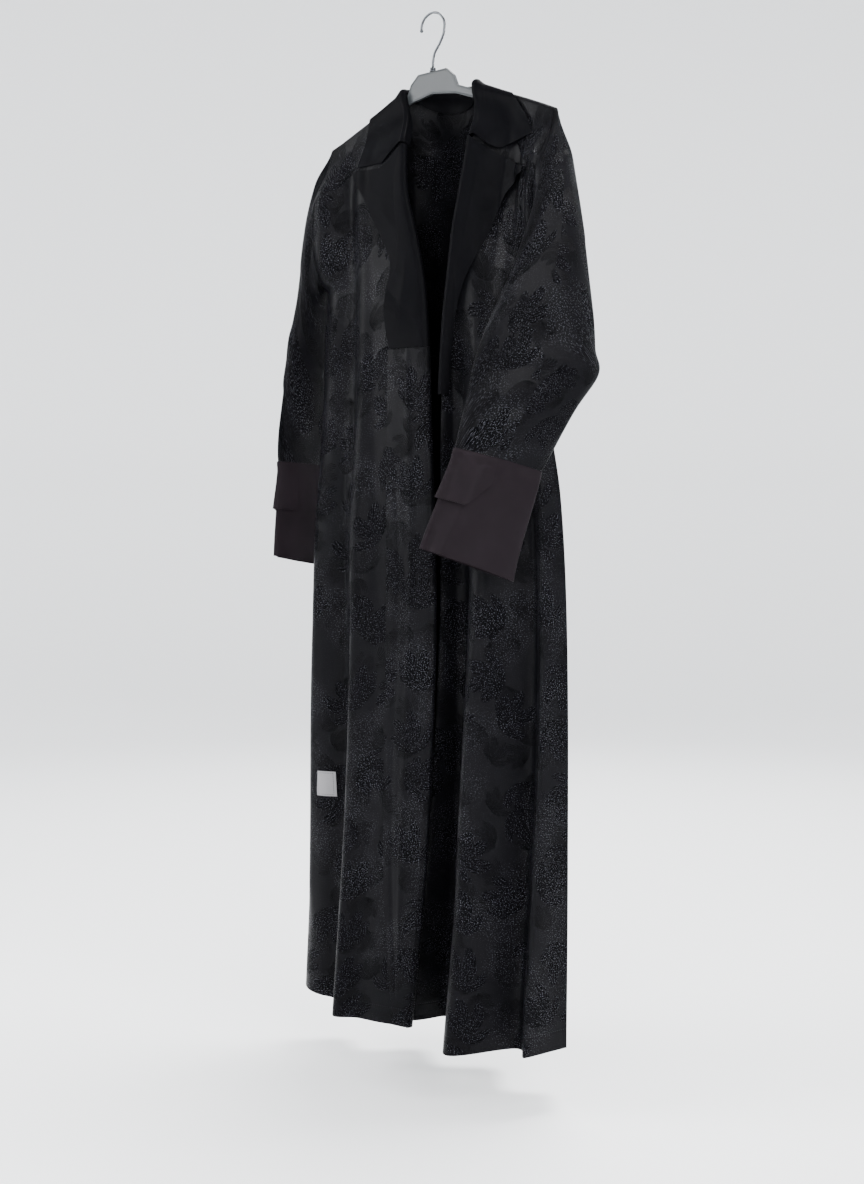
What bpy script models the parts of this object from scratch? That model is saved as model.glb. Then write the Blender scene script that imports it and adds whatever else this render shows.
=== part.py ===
"""An open-front abaya cloak on a flat clothes hanger.

Metres, +Z up. The origin is the inside top of the hanger's hook, where a rod
or a peg holds it. +X is the wearer's left, the front faces -Y. Every cloth
piece is a thin wall on a surface worked out from the tables below.
"""
import math

import bmesh
import bpy
from mathutils import Vector

CLOTH = 0.0013          # thickness of every cloth wall
SEAM = 0.0015           # half of the open line where two panels meet
EDGE_GAP = 0.0009       # a separate piece starts this far from its neighbour
SLEEVE_GAP = 0.0016     # a sleeve starts this far outside the body
HEM_Z = -1.570
HEM_LIFT = {"right": 0.026, "left": 0.008}     # the hem rises at the side seams

# The shoulder ridge, where the cloth lies on the hanger's arms.
RIDGE_Z = -0.0913
RIDGE_SLOPE = 0.415
HANGER_TILT = 0.055     # the wearer's left end of the hanger hangs higher
RIDGE_RADIUS = 0.0056
SETTLE = 0.09           # the fronts reach their full depth this far down
UNDERARM_ROW = 9        # the row of the body panels that ends the armhole
ARMHOLE_DEPTH = 0.042
ARMHOLE_FADE = 0.20     # its bulge dies out over this share of a panel
NECK_DIP = 0.022
NECK_DEPTH = 0.036
NECK_FADE = 0.12

# The open front and the side seam of each half, from the ridge to the hem.
OUTLINE_COLUMNS = ("z", "side_x", "side_y", "edge_x", "edge_y", "swell")
OUTLINE = {
    "right": (
        (-0.116, -0.200, 0.000, -0.0535, 0.000, 0.010),
        (-0.210, -0.203, 0.000, -0.0230, -0.040, 0.010),
        (-0.280, -0.207, 0.000, -0.0160, -0.046, 0.014),
        (-0.335, -0.211, 0.000, -0.0040, -0.043, 0.016),
        (-0.420, -0.216, 0.000, 0.0120, -0.040, 0.020),
        (-0.510, -0.222, 0.000, 0.0200, -0.040, 0.022),
        (-0.620, -0.230, 0.004, 0.0240, -0.040, 0.024),
        (-0.800, -0.252, 0.010, 0.0310, -0.040, 0.028),
        (-0.970, -0.262, 0.020, 0.0310, -0.038, 0.032),
        (-1.300, -0.288, 0.045, 0.0060, -0.028, 0.040),
        (-1.570, -0.320, 0.075, -0.0500, 0.004, 0.048),
    ),
    "left": (
        (-0.120, 0.233, 0.000, 0.0810, 0.000, 0.010),
        (-0.200, 0.227, 0.000, 0.1040, -0.036, 0.008),
        (-0.290, 0.218, 0.000, 0.0957, -0.050, 0.008),
        (-0.340, 0.216, 0.000, 0.0845, -0.050, 0.010),
        (-0.400, 0.215, 0.000, 0.0753, -0.050, 0.012),
        (-0.480, 0.213, 0.000, 0.0640, -0.050, 0.014),
        (-0.600, 0.212, 0.002, 0.0520, -0.046, 0.016),
        (-0.750, 0.232, 0.008, 0.0340, -0.026, 0.024),
        (-0.950, 0.237, 0.017, 0.0280, -0.020, 0.030),
        (-1.300, 0.231, 0.028, -0.0060, -0.008, 0.036),
        (-1.570, 0.223, 0.036, -0.0640, 0.028, 0.044),
    ),
}

# Hanging folds: place and half-width are shares of the panel from the side
# seam (0) to its other edge (1); the pushes are outward, at chest, knee, hem.
FOLD_LEVELS = (-0.36, -0.90, -1.57)
# Columns: top_place, hem_place, half_width, chest, knee, hem.
FOLDS = {
    "right": (
        (0.13, 0.12, 0.11, 0.006, 0.016, 0.016),
        (0.33, 0.36, 0.09, -0.006, -0.020, -0.024),
        (0.47, 0.55, 0.08, 0.006, 0.020, 0.026),
    ),
    "left": (
        (0.06, 0.07, 0.08, 0.004, 0.030, 0.080),
        (0.24, 0.21, 0.07, 0.010, -0.010, -0.004),
        (0.58, 0.42, 0.15, -0.012, 0.034, 0.076),
        (0.84, 0.84, 0.14, 0.000, -0.036, -0.078),
    ),
    "back": (
        (0.12, 0.11, 0.07, 0.004, 0.018, 0.026),
        (0.25, 0.23, 0.07, -0.004, -0.016, -0.022),
        (0.38, 0.36, 0.07, 0.004, 0.016, 0.026),
        (0.50, 0.50, 0.06, -0.003, -0.014, -0.022),
        (0.63, 0.65, 0.07, 0.004, 0.018, 0.028),
        (0.76, 0.79, 0.06, -0.004, -0.016, -0.022),
        (0.89, 0.90, 0.06, 0.003, 0.014, 0.022),
    ),
}
BACK_SWELL = ((-0.10, 0.018), (-0.40, 0.050), (-0.90, 0.052), (-1.57, 0.070))

# The turned-out front edges, row by row: roll_z, free_x, free_z.
LAPELS = {
    "right": (
        (-0.2065, -0.1256, -0.2330),
        (-0.2900, -0.0808, -0.3160),
        (-0.3700, -0.0430, -0.3880),
        (-0.4500, -0.0568, -0.4570),
        (-0.5180, -0.0467, -0.5180),
    ),
    "left": (
        (-0.2100, 0.2066, -0.2664),
        (-0.2550, 0.1710, -0.2880),
        (-0.2950, 0.1528, -0.3080),
        (-0.3700, 0.1163, -0.3850),
        (-0.4350, 0.0900, -0.4400),
        (-0.5000, 0.0740, -0.5010),
        (-0.5900, 0.0615, -0.5900),
    ),
}
TURNBACK = (
    (-0.5190, -0.0467, -0.5190),
    (-0.6500, -0.0487, -0.6500),
    (-0.9000, -0.0487, -0.9000),
    (-1.2500, -0.0600, -1.2500),
    (-1.5670, -0.0726, -1.5670),
)
ROLL_RADIUS = 0.0054
FREE_LIFT = 0.0058
LIFT_FADE = 0.030

# The collar. Neck says where its roll lies: below 0 metres down the right
# front, 0 to 1 a share of the back neck, above 1 metres down the left front.
# Drop is the leaf edge's height below the ridge, negative on the front.
# Columns: neck, leaf_x, leaf_drop, stand.
COLLAR = (
    (-0.0870, -0.1155, -0.0800, 0.009),
    (-0.0580, -0.1200, -0.0480, 0.008),
    (-0.0300, -0.1215, -0.0200, 0.008),
    (-0.0070, -0.1200, -0.0050, 0.008),
    (0.0000, -0.1190, 0.0000, 0.008),
    (0.0300, -0.1150, 0.0080, 0.009),
    (0.1400, -0.0900, 0.0400, 0.012),
    (0.3200, -0.0400, 0.0700, 0.018),
    (0.5000, 0.0140, 0.0820, 0.020),
    (0.6800, 0.0720, 0.0700, 0.018),
    (0.8600, 0.1220, 0.0400, 0.012),
    (0.9700, 0.1440, 0.0080, 0.009),
    (1.0000, 0.1480, 0.0000, 0.008),
    (1.0070, 0.1560, -0.0050, 0.008),
    (1.0280, 0.1740, -0.0160, 0.008),
    (1.0560, 0.1900, -0.0330, 0.008),
    (1.0870, 0.2015, -0.0500, 0.009),
)
COLLAR_STEPS = 32
COLLAR_COLUMNS_ACROSS = 10
COLLAR_LIFT = 0.0045

# Sleeves: centre, the vector to the overarm line, the vector to the front.
# Columns: cx, cy, cz, ox, oy, oz, fx, fy, fz.
SLEEVES = {
    "left": (
        (0.2400, -0.0190, -0.3400, 0.0140, 0.0090, 0.0880, -0.0100, -0.0390, 0.000),
        (0.2430, -0.0380, -0.4120, 0.0240, -0.0040, 0.0500, -0.0270, -0.0520, -0.002),
        (0.2410, -0.0520, -0.4800, 0.0220, -0.0120, 0.0260, -0.0420, -0.0650, 0.000),
        (0.2385, -0.0590, -0.5309, 0.0190, -0.0130, 0.0120, -0.0500, -0.0740, 0.001),
        (0.2380, -0.0665, -0.5761, 0.0180, -0.0125, 0.0060, -0.0570, -0.0800, -0.008),
        (0.2220, -0.0867, -0.6275, 0.0170, -0.0120, 0.0000, -0.0480, -0.0693, -0.003),
        (0.2033, -0.1076, -0.6928, 0.0140, -0.0095, 0.0000, -0.0371, -0.0544, 0.017),
    ),
    "right": (
        (-0.2290, 0.0030, -0.3400, -0.0030, 0.0000, 0.0880, 0.0010, -0.0420, 0.000),
        (-0.2440, 0.0080, -0.4120, -0.0120, 0.0000, 0.0500, 0.0010, -0.0460, 0.000),
        (-0.2570, 0.0160, -0.4880, -0.0170, 0.0000, 0.0260, 0.0000, -0.0560, 0.000),
        (-0.2700, 0.0240, -0.5600, -0.0170, 0.0000, 0.0120, 0.0000, -0.0700, -0.004),
        (-0.2800, 0.0290, -0.6250, -0.0160, 0.0000, 0.0000, 0.0000, -0.0720, -0.002),
        (-0.2920, 0.0310, -0.6900, -0.0150, 0.0000, 0.0000, 0.0000, -0.0650, 0.004),
    ),
}
CUFF_ENDS = {
    "left": (0.1724, -0.1414, -0.8432, 0.0125, -0.0090, 0.0000, -0.0422, -0.0552, 0.0247),
    "right": (-0.3040, 0.0350, -0.8500, -0.0150, 0.0000, 0.0000, 0.0000, -0.0680, 0.010),
}
TAB_REACH = (6.0, 150.0)    # degrees round the cuff from its outer middle
TAB_LENGTH = 0.47           # share of the cuff's length
TAB_CORNER = 0.55           # the cut corner's start, as a share of the tab
TAB_LIFT = (0.0022, 0.0050)

LABEL_PLACE = (-0.2120, -1.206)
LABEL_SIZE = (0.034, 0.040)
LABEL_LIFT = 0.0016

HOOK_WIRE = 0.0020
HOOK_ARC = 0.0225
HOOK_END = 186.0
SHANK = ((0.0205, -0.034), (0.0130, -0.048), (0.0040, -0.060), (0.0005, -0.072), (0.0, -0.0827))
FERRULE_RADIUS = 0.0052
FERRULE_TOP = -0.0830
PLATE_TOP = -0.0890
PLATE_HALF_THICKNESS = 0.0030
PLATE_BELOW_RIDGE = 0.0068
PLATE_HALF = (
    (0.0000, PLATE_TOP),
    (0.0275, PLATE_TOP),
    (0.0420, -0.1020),
    (0.0490, RIDGE_Z - RIDGE_SLOPE * 0.0490 - PLATE_BELOW_RIDGE),
    (0.1850, RIDGE_Z - RIDGE_SLOPE * 0.1850 - PLATE_BELOW_RIDGE),
    (0.1920, -0.1800),
    (0.1920, -0.1860),
    (0.1850, -0.1905),
    (0.1300, -0.1690),
    (0.0800, -0.1450),
    (0.0450, -0.1310),
    (0.0000, -0.1235),
)

ROWS_DOWN = (0.0, 0.0016, 0.0056, 0.020, 0.045, 0.090, 0.130, 0.172, 0.212, 0.242, 0.300,
             0.350, 0.400, 0.480, 0.580, 0.700, 0.840, 0.990, 1.140, 1.300, 1.450)
FULL_DROP = ROWS_DOWN[-1]
GORGE_ROW = 5           # the lapels start at this row
TURNBACK_ROW = 12       # the satin of the right lapel ends at this row
COLUMNS = {"right": 20, "left": 24, "back": 34}


def read(rows, key, column):
    """A smooth value of one column of a table, at a place in its first column."""
    rising = rows[0][0] < rows[-1][0]
    table = rows if rising else tuple(reversed(rows))
    key = min(max(key, table[0][0]), table[-1][0])
    index = 0
    while index < len(table) - 2 and table[index + 1][0] < key:
        index += 1
    first, second = table[index], table[index + 1]
    span = second[0] - first[0]
    before = table[max(index - 1, 0)]
    after = table[min(index + 2, len(table) - 1)]
    slope_in = (second[column] - before[column]) / (second[0] - before[0])
    slope_out = (after[column] - first[column]) / (after[0] - first[0])
    t = (key - first[0]) / span
    return (first[column] * (1 + 2 * t) * (1 - t) ** 2 + slope_in * span * t * (1 - t) ** 2
            + second[column] * t * t * (3 - 2 * t) - slope_out * span * t * t * (1 - t))


def ease(t):
    t = min(max(t, 0.0), 1.0)
    return t * t * (3 - 2 * t)


def mix(a, b, t):
    return a + (b - a) * t


def outline(side, z):
    """Side x, side y, edge x, edge y and swell of one front at a height."""
    return [read(OUTLINE[side], z, column) for column in range(1, len(OUTLINE_COLUMNS))]


def ridge_z(x):
    return RIDGE_Z - RIDGE_SLOPE * abs(x) + HANGER_TILT * x


def tip_x(side):
    return OUTLINE[side][0][1]


def neck_x(side):
    return OUTLINE[side][0][3]


def row_drop(row):
    """A row's share of the way from a panel's upper edge to its hem."""
    return ROWS_DOWN[row] / FULL_DROP


def hem_z(side, place):
    """Height of a front's hem, which lifts towards the side seam."""
    return HEM_Z + HEM_LIFT[side] * (1.0 - place) ** 3


def underarm_z(side):
    return mix(ridge_z(tip_x(side)), hem_z(side, 0.0), row_drop(UNDERARM_ROW))


def armhole_depth(side, z):
    """Half the armhole's opening, front to back, at a height."""
    top, low = ridge_z(tip_x(side)), underarm_z(side)
    share = min(abs(2 * z - top - low) / (top - low), 1.0)
    return ARMHOLE_DEPTH * math.sqrt(1.0 - share * share)


def ridge_round(below):
    """How far the cloth stands out from the ridge line, just below it."""
    rise = RIDGE_RADIUS - min(max(below, 0.0), RIDGE_RADIUS)
    return max(SEAM, math.sqrt(RIDGE_RADIUS ** 2 - rise ** 2))


def fold_push(panel, place, z):
    """The sum of a panel's folds at one place across it."""
    down = (FOLD_LEVELS[0] - z) / (FOLD_LEVELS[0] - FOLD_LEVELS[2])
    total = 0.0
    for top, hem, half_width, *pushes in FOLDS[panel]:
        centre = mix(top, hem, min(max(down, 0.0), 1.0))
        push = read(tuple(zip(FOLD_LEVELS, pushes)), z, 1)
        total += push * math.exp(-((place - centre) / half_width) ** 2)
    return total * min(1.0, place * (1.0 - place) * 14)


def front_point(side, place, z):
    """A point of a front: place 0 is its side, 1 its open edge."""
    side_x, side_y, edge_x, edge_y, swell = outline(side, z)
    top = ridge_z(mix(tip_x(side), neck_x(side), place))
    below = max(top - z, 0.0)
    arch = math.sin(math.pi * min(max(place, 0.0), 1.0)) ** 0.8
    armhole = armhole_depth(side, z) * math.exp(-(place / ARMHOLE_FADE) ** 2)
    depth = mix(side_y - SEAM, edge_y, place) - swell * arch - armhole
    depth -= fold_push(side, place, z)
    settled = ease(below / SETTLE)
    return Vector((mix(side_x, edge_x, place), mix(-ridge_round(below), depth, settled), z))


def back_top(place):
    """Height of the back's upper edge: two shoulders and the neckline between."""
    x = mix(tip_x("right"), tip_x("left"), place)
    if neck_x("right") < x < neck_x("left"):
        share = (x - neck_x("right")) / (neck_x("left") - neck_x("right"))
        level = mix(ridge_z(neck_x("right")), ridge_z(neck_x("left")), share)
        return level - NECK_DIP * math.sin(math.pi * share) ** 0.7
    return ridge_z(x)


def back_point(place, z):
    """A point of the back: place 0 is the right side seam, 1 the left one."""
    right_x, right_y = outline("right", z)[:2]
    left_x, left_y = outline("left", z)[:2]
    x = mix(right_x, left_x, place)
    top_x = mix(tip_x("right"), tip_x("left"), place)
    inside = (top_x - neck_x("right")) / (neck_x("left") - neck_x("right"))
    level = ridge_z(top_x)
    push = 0.0
    if 0.0 < inside < 1.0:
        level = mix(ridge_z(neck_x("right")), ridge_z(neck_x("left")), inside)
        push = NECK_DEPTH * math.sin(math.pi * inside) ** 0.6
    below = max(level - z, 0.0)
    push *= math.exp(-max(below - NECK_DIP, 0.0) / NECK_FADE)
    arch = math.sin(math.pi * min(max(place, 0.0), 1.0)) ** 0.8
    depth = mix(right_y, left_y, place) + SEAM + read(BACK_SWELL, z, 1) * arch
    depth += armhole_depth("right", z) * math.exp(-(2 * place / ARMHOLE_FADE) ** 2)
    depth += armhole_depth("left", z) * math.exp(-(2 * (1 - place) / ARMHOLE_FADE) ** 2)
    depth += fold_push("back", place, z)
    settled = ease(below / SETTLE)
    return Vector((x, mix(ridge_round(below), depth, settled) + push, z))


def back_hem_z(place):
    side = "right" if place < 0.5 else "left"
    return HEM_Z + HEM_LIFT[side] * abs(2 * place - 1) ** 3


def outward(sample, x_step=0.004, z_step=0.006):
    """Unit normal of a surface sampled at (across, down), facing -Y or +Y."""
    across = sample(x_step, 0.0) - sample(-x_step, 0.0)
    down = sample(0.0, -z_step) - sample(0.0, z_step)
    return across.cross(down).normalized()


def front_at(side, x, z):
    side_x, _, edge_x, _, _ = outline(side, z)
    return front_point(side, (x - side_x) / (edge_x - side_x), z)


def over_front(side, x, z, lift):
    """A point lifted off a front, from the front's own surface."""
    normal = outward(lambda dx, dz: front_at(side, x + dx, z + dz))
    if normal.y > 0:
        normal = -normal
    return front_at(side, x, z) + normal * lift


def back_at(x, z):
    right_x = outline("right", z)[0]
    left_x = outline("left", z)[0]
    return back_point((x - right_x) / (left_x - right_x), z)


def over_back(x, z, lift):
    normal = outward(lambda dx, dz: back_at(x + dx, z + dz))
    if normal.y < 0:
        normal = -normal
    return back_at(x, z) + normal * lift


def level_at(x):
    """The ridge's height, carried straight across the neck."""
    low, high = neck_x("right"), neck_x("left")
    if low < x < high:
        return mix(ridge_z(low), ridge_z(high), (x - low) / (high - low))
    return ridge_z(x)


def over_ridge(x, drop, lift):
    """A point above the shoulder: drop < 0 lies on the front, > 0 on the back."""
    low, high = neck_x("right"), neck_x("left")
    level = level_at(x)
    blend = ease(abs(drop) / 0.016)
    if drop < 0:
        side = "right" if x < (low + high) / 2 else "left"
        side_point = over_front(side, x, level + drop, lift)
    else:
        side_point = over_back(x, level - drop, lift)
    crown = Vector((x, 0.0, level + lift))
    if abs(drop) > 0:
        crown.y = math.copysign(min(abs(drop), lift + RIDGE_RADIUS), drop)
    return crown.lerp(side_point, blend)


def new_sheet(name, columns, rows, place, material, close_around=False, flip=False):
    """A grid whose points are placed by a function, with a wall behind it."""
    bm = bmesh.new()
    bmesh.ops.create_grid(bm, x_segments=columns, y_segments=rows, size=1.0)
    for vert in bm.verts:
        across = round((vert.co.x + 1) / 2 * columns)
        down = round((1 - vert.co.y) / 2 * rows)
        vert.co = place(across / columns, down / rows)
    if close_around:
        bmesh.ops.remove_doubles(bm, verts=bm.verts, dist=1e-5)
    if flip:
        bmesh.ops.reverse_faces(bm, faces=bm.faces)
    mesh = bpy.data.meshes.new(name)
    bm.to_mesh(mesh)
    bm.free()
    mesh.shade_smooth()
    mesh.materials.append(material)
    piece = bpy.data.objects.new(name, mesh)
    CLOAK.objects.link(piece)
    wall = piece.modifiers.new("Wall", "SOLIDIFY")
    wall.thickness = CLOTH
    wall.offset = -1.0
    return piece


def make_front(side, material):
    def place(across, down):
        top = ridge_z(mix(tip_x(side), neck_x(side), across))
        row = round(down * (len(ROWS_DOWN) - 1))
        return front_point(side, across, mix(top, hem_z(side, across), row_drop(row)))
    return new_sheet(side + "_front", COLUMNS[side], len(ROWS_DOWN) - 1, place, material,
                     flip=(side == "left"))


def make_back(material):
    def place(across, down):
        row = round(down * (len(ROWS_DOWN) - 1))
        return back_point(across, mix(back_top(across), back_hem_z(across), row_drop(row)))
    return new_sheet("back", COLUMNS["back"], len(ROWS_DOWN) - 1, place, material, flip=True)


def turned_point(side, rows, across, roll_z, bend):
    """A point of the cloth turned out over a front, round its open edge."""
    free_x = read(rows, roll_z, 1)
    free_z = read(rows, roll_z, 2)
    edge = outline(side, roll_z)[2]
    away = math.copysign(1.0, edge - tip_x(side))
    if across < bend:
        angle = math.pi * across / bend
        inner = edge - away * 0.003
        surface = front_at(side, inner, roll_z)
        normal = over_front(side, inner, roll_z, 1.0) - surface
        fold = front_at(side, edge, roll_z)
        tangent = (fold - surface).normalized()
        return (fold + tangent * (EDGE_GAP + ROLL_RADIUS * math.sin(angle))
                + normal * (ROLL_RADIUS * (1 - math.cos(angle)) - CLOTH))
    share = (across - bend) / (1 - bend)
    x = mix(edge, free_x, share)
    z = mix(roll_z, free_z, share)
    start_lift = 2 * ROLL_RADIUS - CLOTH
    lift = FREE_LIFT + (start_lift - FREE_LIFT) * math.exp(-abs(x - edge) / LIFT_FADE)
    return over_front(side, x, z, lift)


def make_turned(name, side, rows, heights, material, columns=12, bend_columns=3):
    """A turned-out edge, with a row of points at each given height."""
    def place(across, down):
        height = heights[round(down * (len(heights) - 1))]
        return turned_point(side, rows, across, height, bend_columns / columns)
    return new_sheet(name, columns, len(heights) - 1, place, material, flip=(side == "right"))


def panel_heights(side, first, last):
    """Heights of a front's rows at its open edge."""
    top = ridge_z(neck_x(side))
    return [mix(top, hem_z(side, 1.0), row_drop(row)) for row in range(first, last + 1)]


def lapel_heights(side, end):
    """The lapel starts at the gorge and then follows the front's rows."""
    rows = panel_heights(side, GORGE_ROW, len(ROWS_DOWN) - 1)
    return [z for z in rows if z > end + 0.001] + [end]


def neck_edge(neck):
    """Where the collar's roll lies: x, and drop from the ridge."""
    low, high = neck_x("right"), neck_x("left")
    if 0.0 <= neck <= 1.0:
        return mix(low, high, neck), NECK_DIP * math.sin(math.pi * neck) ** 0.7
    side = "right" if neck < 0.0 else "left"
    z = ridge_z(neck_x(side)) - (-neck if neck < 0.0 else neck - 1.0)
    x = outline(side, z)[2]
    return x, z - level_at(x)


def collar_point(across, along):
    """Along runs round the neck; across goes up the stand, over, and out."""
    place = along * (len(COLLAR) - 1)
    keyed = tuple((index,) + row for index, row in enumerate(COLLAR))
    neck, leaf_x, leaf_drop, stand = (read(keyed, place, column) for column in range(1, 5))
    roll_x, roll_drop = neck_edge(neck)
    roll = over_ridge(roll_x, roll_drop, 0.0)
    up = (over_ridge(roll_x, roll_drop, 0.01) - roll).normalized()
    near_x, near_drop = mix(roll_x, leaf_x, 0.1), mix(roll_drop, leaf_drop, 0.1)
    inward = roll - over_ridge(near_x, near_drop, 0.0)
    inward = (inward - up * inward.dot(up)).normalized()
    turn = ease(max(roll_drop, 0.0) / NECK_DIP) * math.pi / 2
    away = inward * math.cos(turn) - up * math.sin(turn)
    rise = inward * math.sin(turn) + up * math.cos(turn)
    skirt = -0.001 - 0.007 * ease((abs(roll.y) - 0.006) / 0.010)
    stations = ((0.0034, skirt), (0.0040, 0.35 * stand), (0.0024, 0.8 * stand),
                (-0.0024, stand), (-0.0075, 0.86 * stand))
    station = round(across * COLLAR_COLUMNS_ACROSS)
    if station < len(stations):
        return roll + away * stations[station][0] + rise * stations[station][1]
    first = len(stations) - 1
    share = (station - first) / (COLLAR_COLUMNS_ACROSS - first)
    share = mix(0.12, 1.0, share)
    lift = COLLAR_LIFT + max(stand * 0.86 - COLLAR_LIFT, 0.0) * (1 - share) ** 2
    return over_ridge(mix(roll_x, leaf_x, share), mix(roll_drop, leaf_drop, share), lift)


def sleeve_rows(side):
    """The armhole, then the sleeve's own sections."""
    top, low = ridge_z(tip_x(side)), underarm_z(side)
    under_x = outline(side, low)[0]
    armhole = ((tip_x(side) + under_x) / 2, 0.0, (top + low) / 2,
               (tip_x(side) - under_x) / 2, 0.0, (top - low) / 2,
               0.0, -ARMHOLE_DEPTH - SEAM, 0.0)
    return (armhole,) + SLEEVES[side]


def ring_angles(side):
    """Angles round the armhole that meet the rows of the body panels."""
    top, low = ridge_z(tip_x(side)), underarm_z(side)
    front = []
    for row in range(UNDERARM_ROW + 1):
        z = mix(top, hem_z(side, 0.0), row_drop(row))
        front.append(math.acos(min(max((2 * z - top - low) / (top - low), -1.0), 1.0)))
    return front + [2 * math.pi - angle for angle in reversed(front[1:-1])] + [2 * math.pi]


def ring_point(row, angle):
    centre, over, front = Vector(row[0:3]), Vector(row[3:6]), Vector(row[6:9])
    return centre + over * math.cos(angle) + front * math.sin(angle)


def make_sleeve(side, material, along=14):
    rows = sleeve_rows(side)
    keyed = tuple((index,) + row for index, row in enumerate(rows))
    angles = ring_angles(side)
    around = len(angles) - 1

    def place(across, down):
        row = [read(keyed, down * (len(rows) - 1), column) for column in range(1, 10)]
        even = 2 * math.pi * across
        angle = mix(angles[round(across * around)], even, min(down * 4, 1.0))
        if down > 0.0:
            return ring_point(row, angle)
        z = ring_point(row, angle).z
        edge = front_point(side, 0.0, z)
        if even > math.pi:
            edge.y = -edge.y
        edge.x += math.copysign(SLEEVE_GAP, edge.x)
        return edge
    return new_sheet(side + "_sleeve", around, along, place, material, close_around=True,
                     flip=(side == "left"))


def cuff_row(side, share):
    start, end = SLEEVES[side][-1], CUFF_ENDS[side]
    length = (Vector(end[0:3]) - Vector(start[0:3])).length
    share = mix(EDGE_GAP / length, 1.0, share)
    return [mix(a, b, share) for a, b in zip(start, end)]


def make_cuff(side, material, around=18, along=4):
    def place(across, down):
        return ring_point(cuff_row(side, down), 2 * math.pi * across)
    return new_sheet(side + "_cuff", around, along, place, material, close_around=True,
                     flip=(side == "left"))


def make_tab(side, material, around=10, along=4):
    """The overlapping end of the cuff: a flap round its front fold."""
    low, high = TAB_REACH

    def place(across, down):
        angle = math.radians(mix(low, high, across))
        length = TAB_LENGTH * mix(TAB_CORNER, 1.0, ease(across / 0.34))
        row = cuff_row(side, down * length + 0.004)
        point = ring_point(row, angle)
        centre = Vector(row[0:3])
        thick, reach = Vector(row[3:6]), Vector(row[6:9])
        normal = (thick / thick.length_squared * math.cos(angle)
                  + reach / reach.length_squared * math.sin(angle)).normalized()
        return point + normal * mix(*TAB_LIFT, down)
    return new_sheet(side + "_cuff_tab", around, along, place, material, flip=(side == "left"))


def make_label(material):
    def place(across, down):
        x = LABEL_PLACE[0] + (across - 0.5) * LABEL_SIZE[0]
        z = LABEL_PLACE[1] - (down - 0.5) * LABEL_SIZE[1]
        return over_front("right", x, z, LABEL_LIFT)
    piece = new_sheet("label_patch", 4, 4, place, material)
    piece.modifiers["Wall"].thickness = 0.0010
    return piece


def make_material(name, colour, roughness, metallic=0.0):
    material = bpy.data.materials.new(name)
    material.use_nodes = True
    shader = material.node_tree.nodes["Principled BSDF"]
    shader.inputs["Base Color"].default_value = (*colour, 1.0)
    shader.inputs["Roughness"].default_value = roughness
    shader.inputs["Metallic"].default_value = metallic
    return material


def make_hanger_plate(material):
    """The hanger's flat body: one outline, mirrored about the hook."""
    right_half = [(-x, z) for x, z in reversed(PLATE_HALF) if x > 0]
    points = list(PLATE_HALF) + right_half
    curve = bpy.data.curves.new("hanger_body", "CURVE")
    curve.dimensions = "2D"
    curve.fill_mode = "BOTH"
    curve.extrude = PLATE_HALF_THICKNESS
    spline = curve.splines.new("POLY")
    spline.points.add(len(points) - 1)
    for point, (x, z) in zip(spline.points, points):
        point.co = (x, z + HANGER_TILT * x, 0.0, 1.0)
    spline.use_cyclic_u = True
    curve.materials.append(material)
    plate = bpy.data.objects.new("hanger_body", curve)
    plate.rotation_euler = (math.pi / 2, 0.0, 0.0)
    CLOAK.objects.link(plate)
    return plate


def make_hook(material):
    """Bent wire: a round crook above a shank that ends in the ferrule."""
    centre_z = HOOK_WIRE - HOOK_ARC
    points = []
    for step in range(19):
        angle = math.radians(mix(HOOK_END, -14.0, step / 18))
        points.append((HOOK_ARC * math.cos(angle), centre_z + HOOK_ARC * math.sin(angle)))
    points.extend(SHANK)
    curve = bpy.data.curves.new("hanger_hook", "CURVE")
    curve.dimensions = "3D"
    curve.bevel_depth = HOOK_WIRE
    curve.bevel_resolution = 2
    curve.use_fill_caps = True
    spline = curve.splines.new("POLY")
    spline.points.add(len(points) - 1)
    for point, (x, z) in zip(spline.points, points):
        point.co = (x, 0.0, z, 1.0)
    curve.materials.append(material)
    hook = bpy.data.objects.new("hanger_hook", curve)
    CLOAK.objects.link(hook)
    return points[0]


def make_round(name, radius, low, high, material):
    bm = bmesh.new()
    bmesh.ops.create_cone(bm, cap_ends=True, segments=20, radius1=radius, radius2=radius,
                          depth=high - low)
    bmesh.ops.translate(bm, verts=bm.verts, vec=(0.0, 0.0, (low + high) / 2))
    mesh = bpy.data.meshes.new(name)
    bm.to_mesh(mesh)
    bm.free()
    mesh.materials.append(material)
    CLOAK.objects.link(bpy.data.objects.new(name, mesh))


for old in list(bpy.data.objects):
    bpy.data.objects.remove(old)
CLOAK = bpy.data.collections.new("abaya_cloak_on_hanger")
bpy.context.scene.collection.children.link(CLOAK)

LAPEL_ENDS = {
    "right": panel_heights("right", TURNBACK_ROW, TURNBACK_ROW)[0],
    "left": LAPELS["left"][-1][0],
}

JACQUARD = make_material("black_jacquard", (0.012, 0.012, 0.014), 0.5)
SATIN = make_material("black_satin", (0.014, 0.014, 0.016), 0.35)
CUFF_SATIN = make_material("dark_cuff_satin", (0.030, 0.024, 0.026), 0.45)
PLASTIC = make_material("grey_plastic", (0.26, 0.28, 0.285), 0.5)
CHROME = make_material("chrome", (0.75, 0.75, 0.76), 0.12, 1.0)
WOVEN = make_material("woven_label", (0.42, 0.41, 0.42), 0.6)

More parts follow.
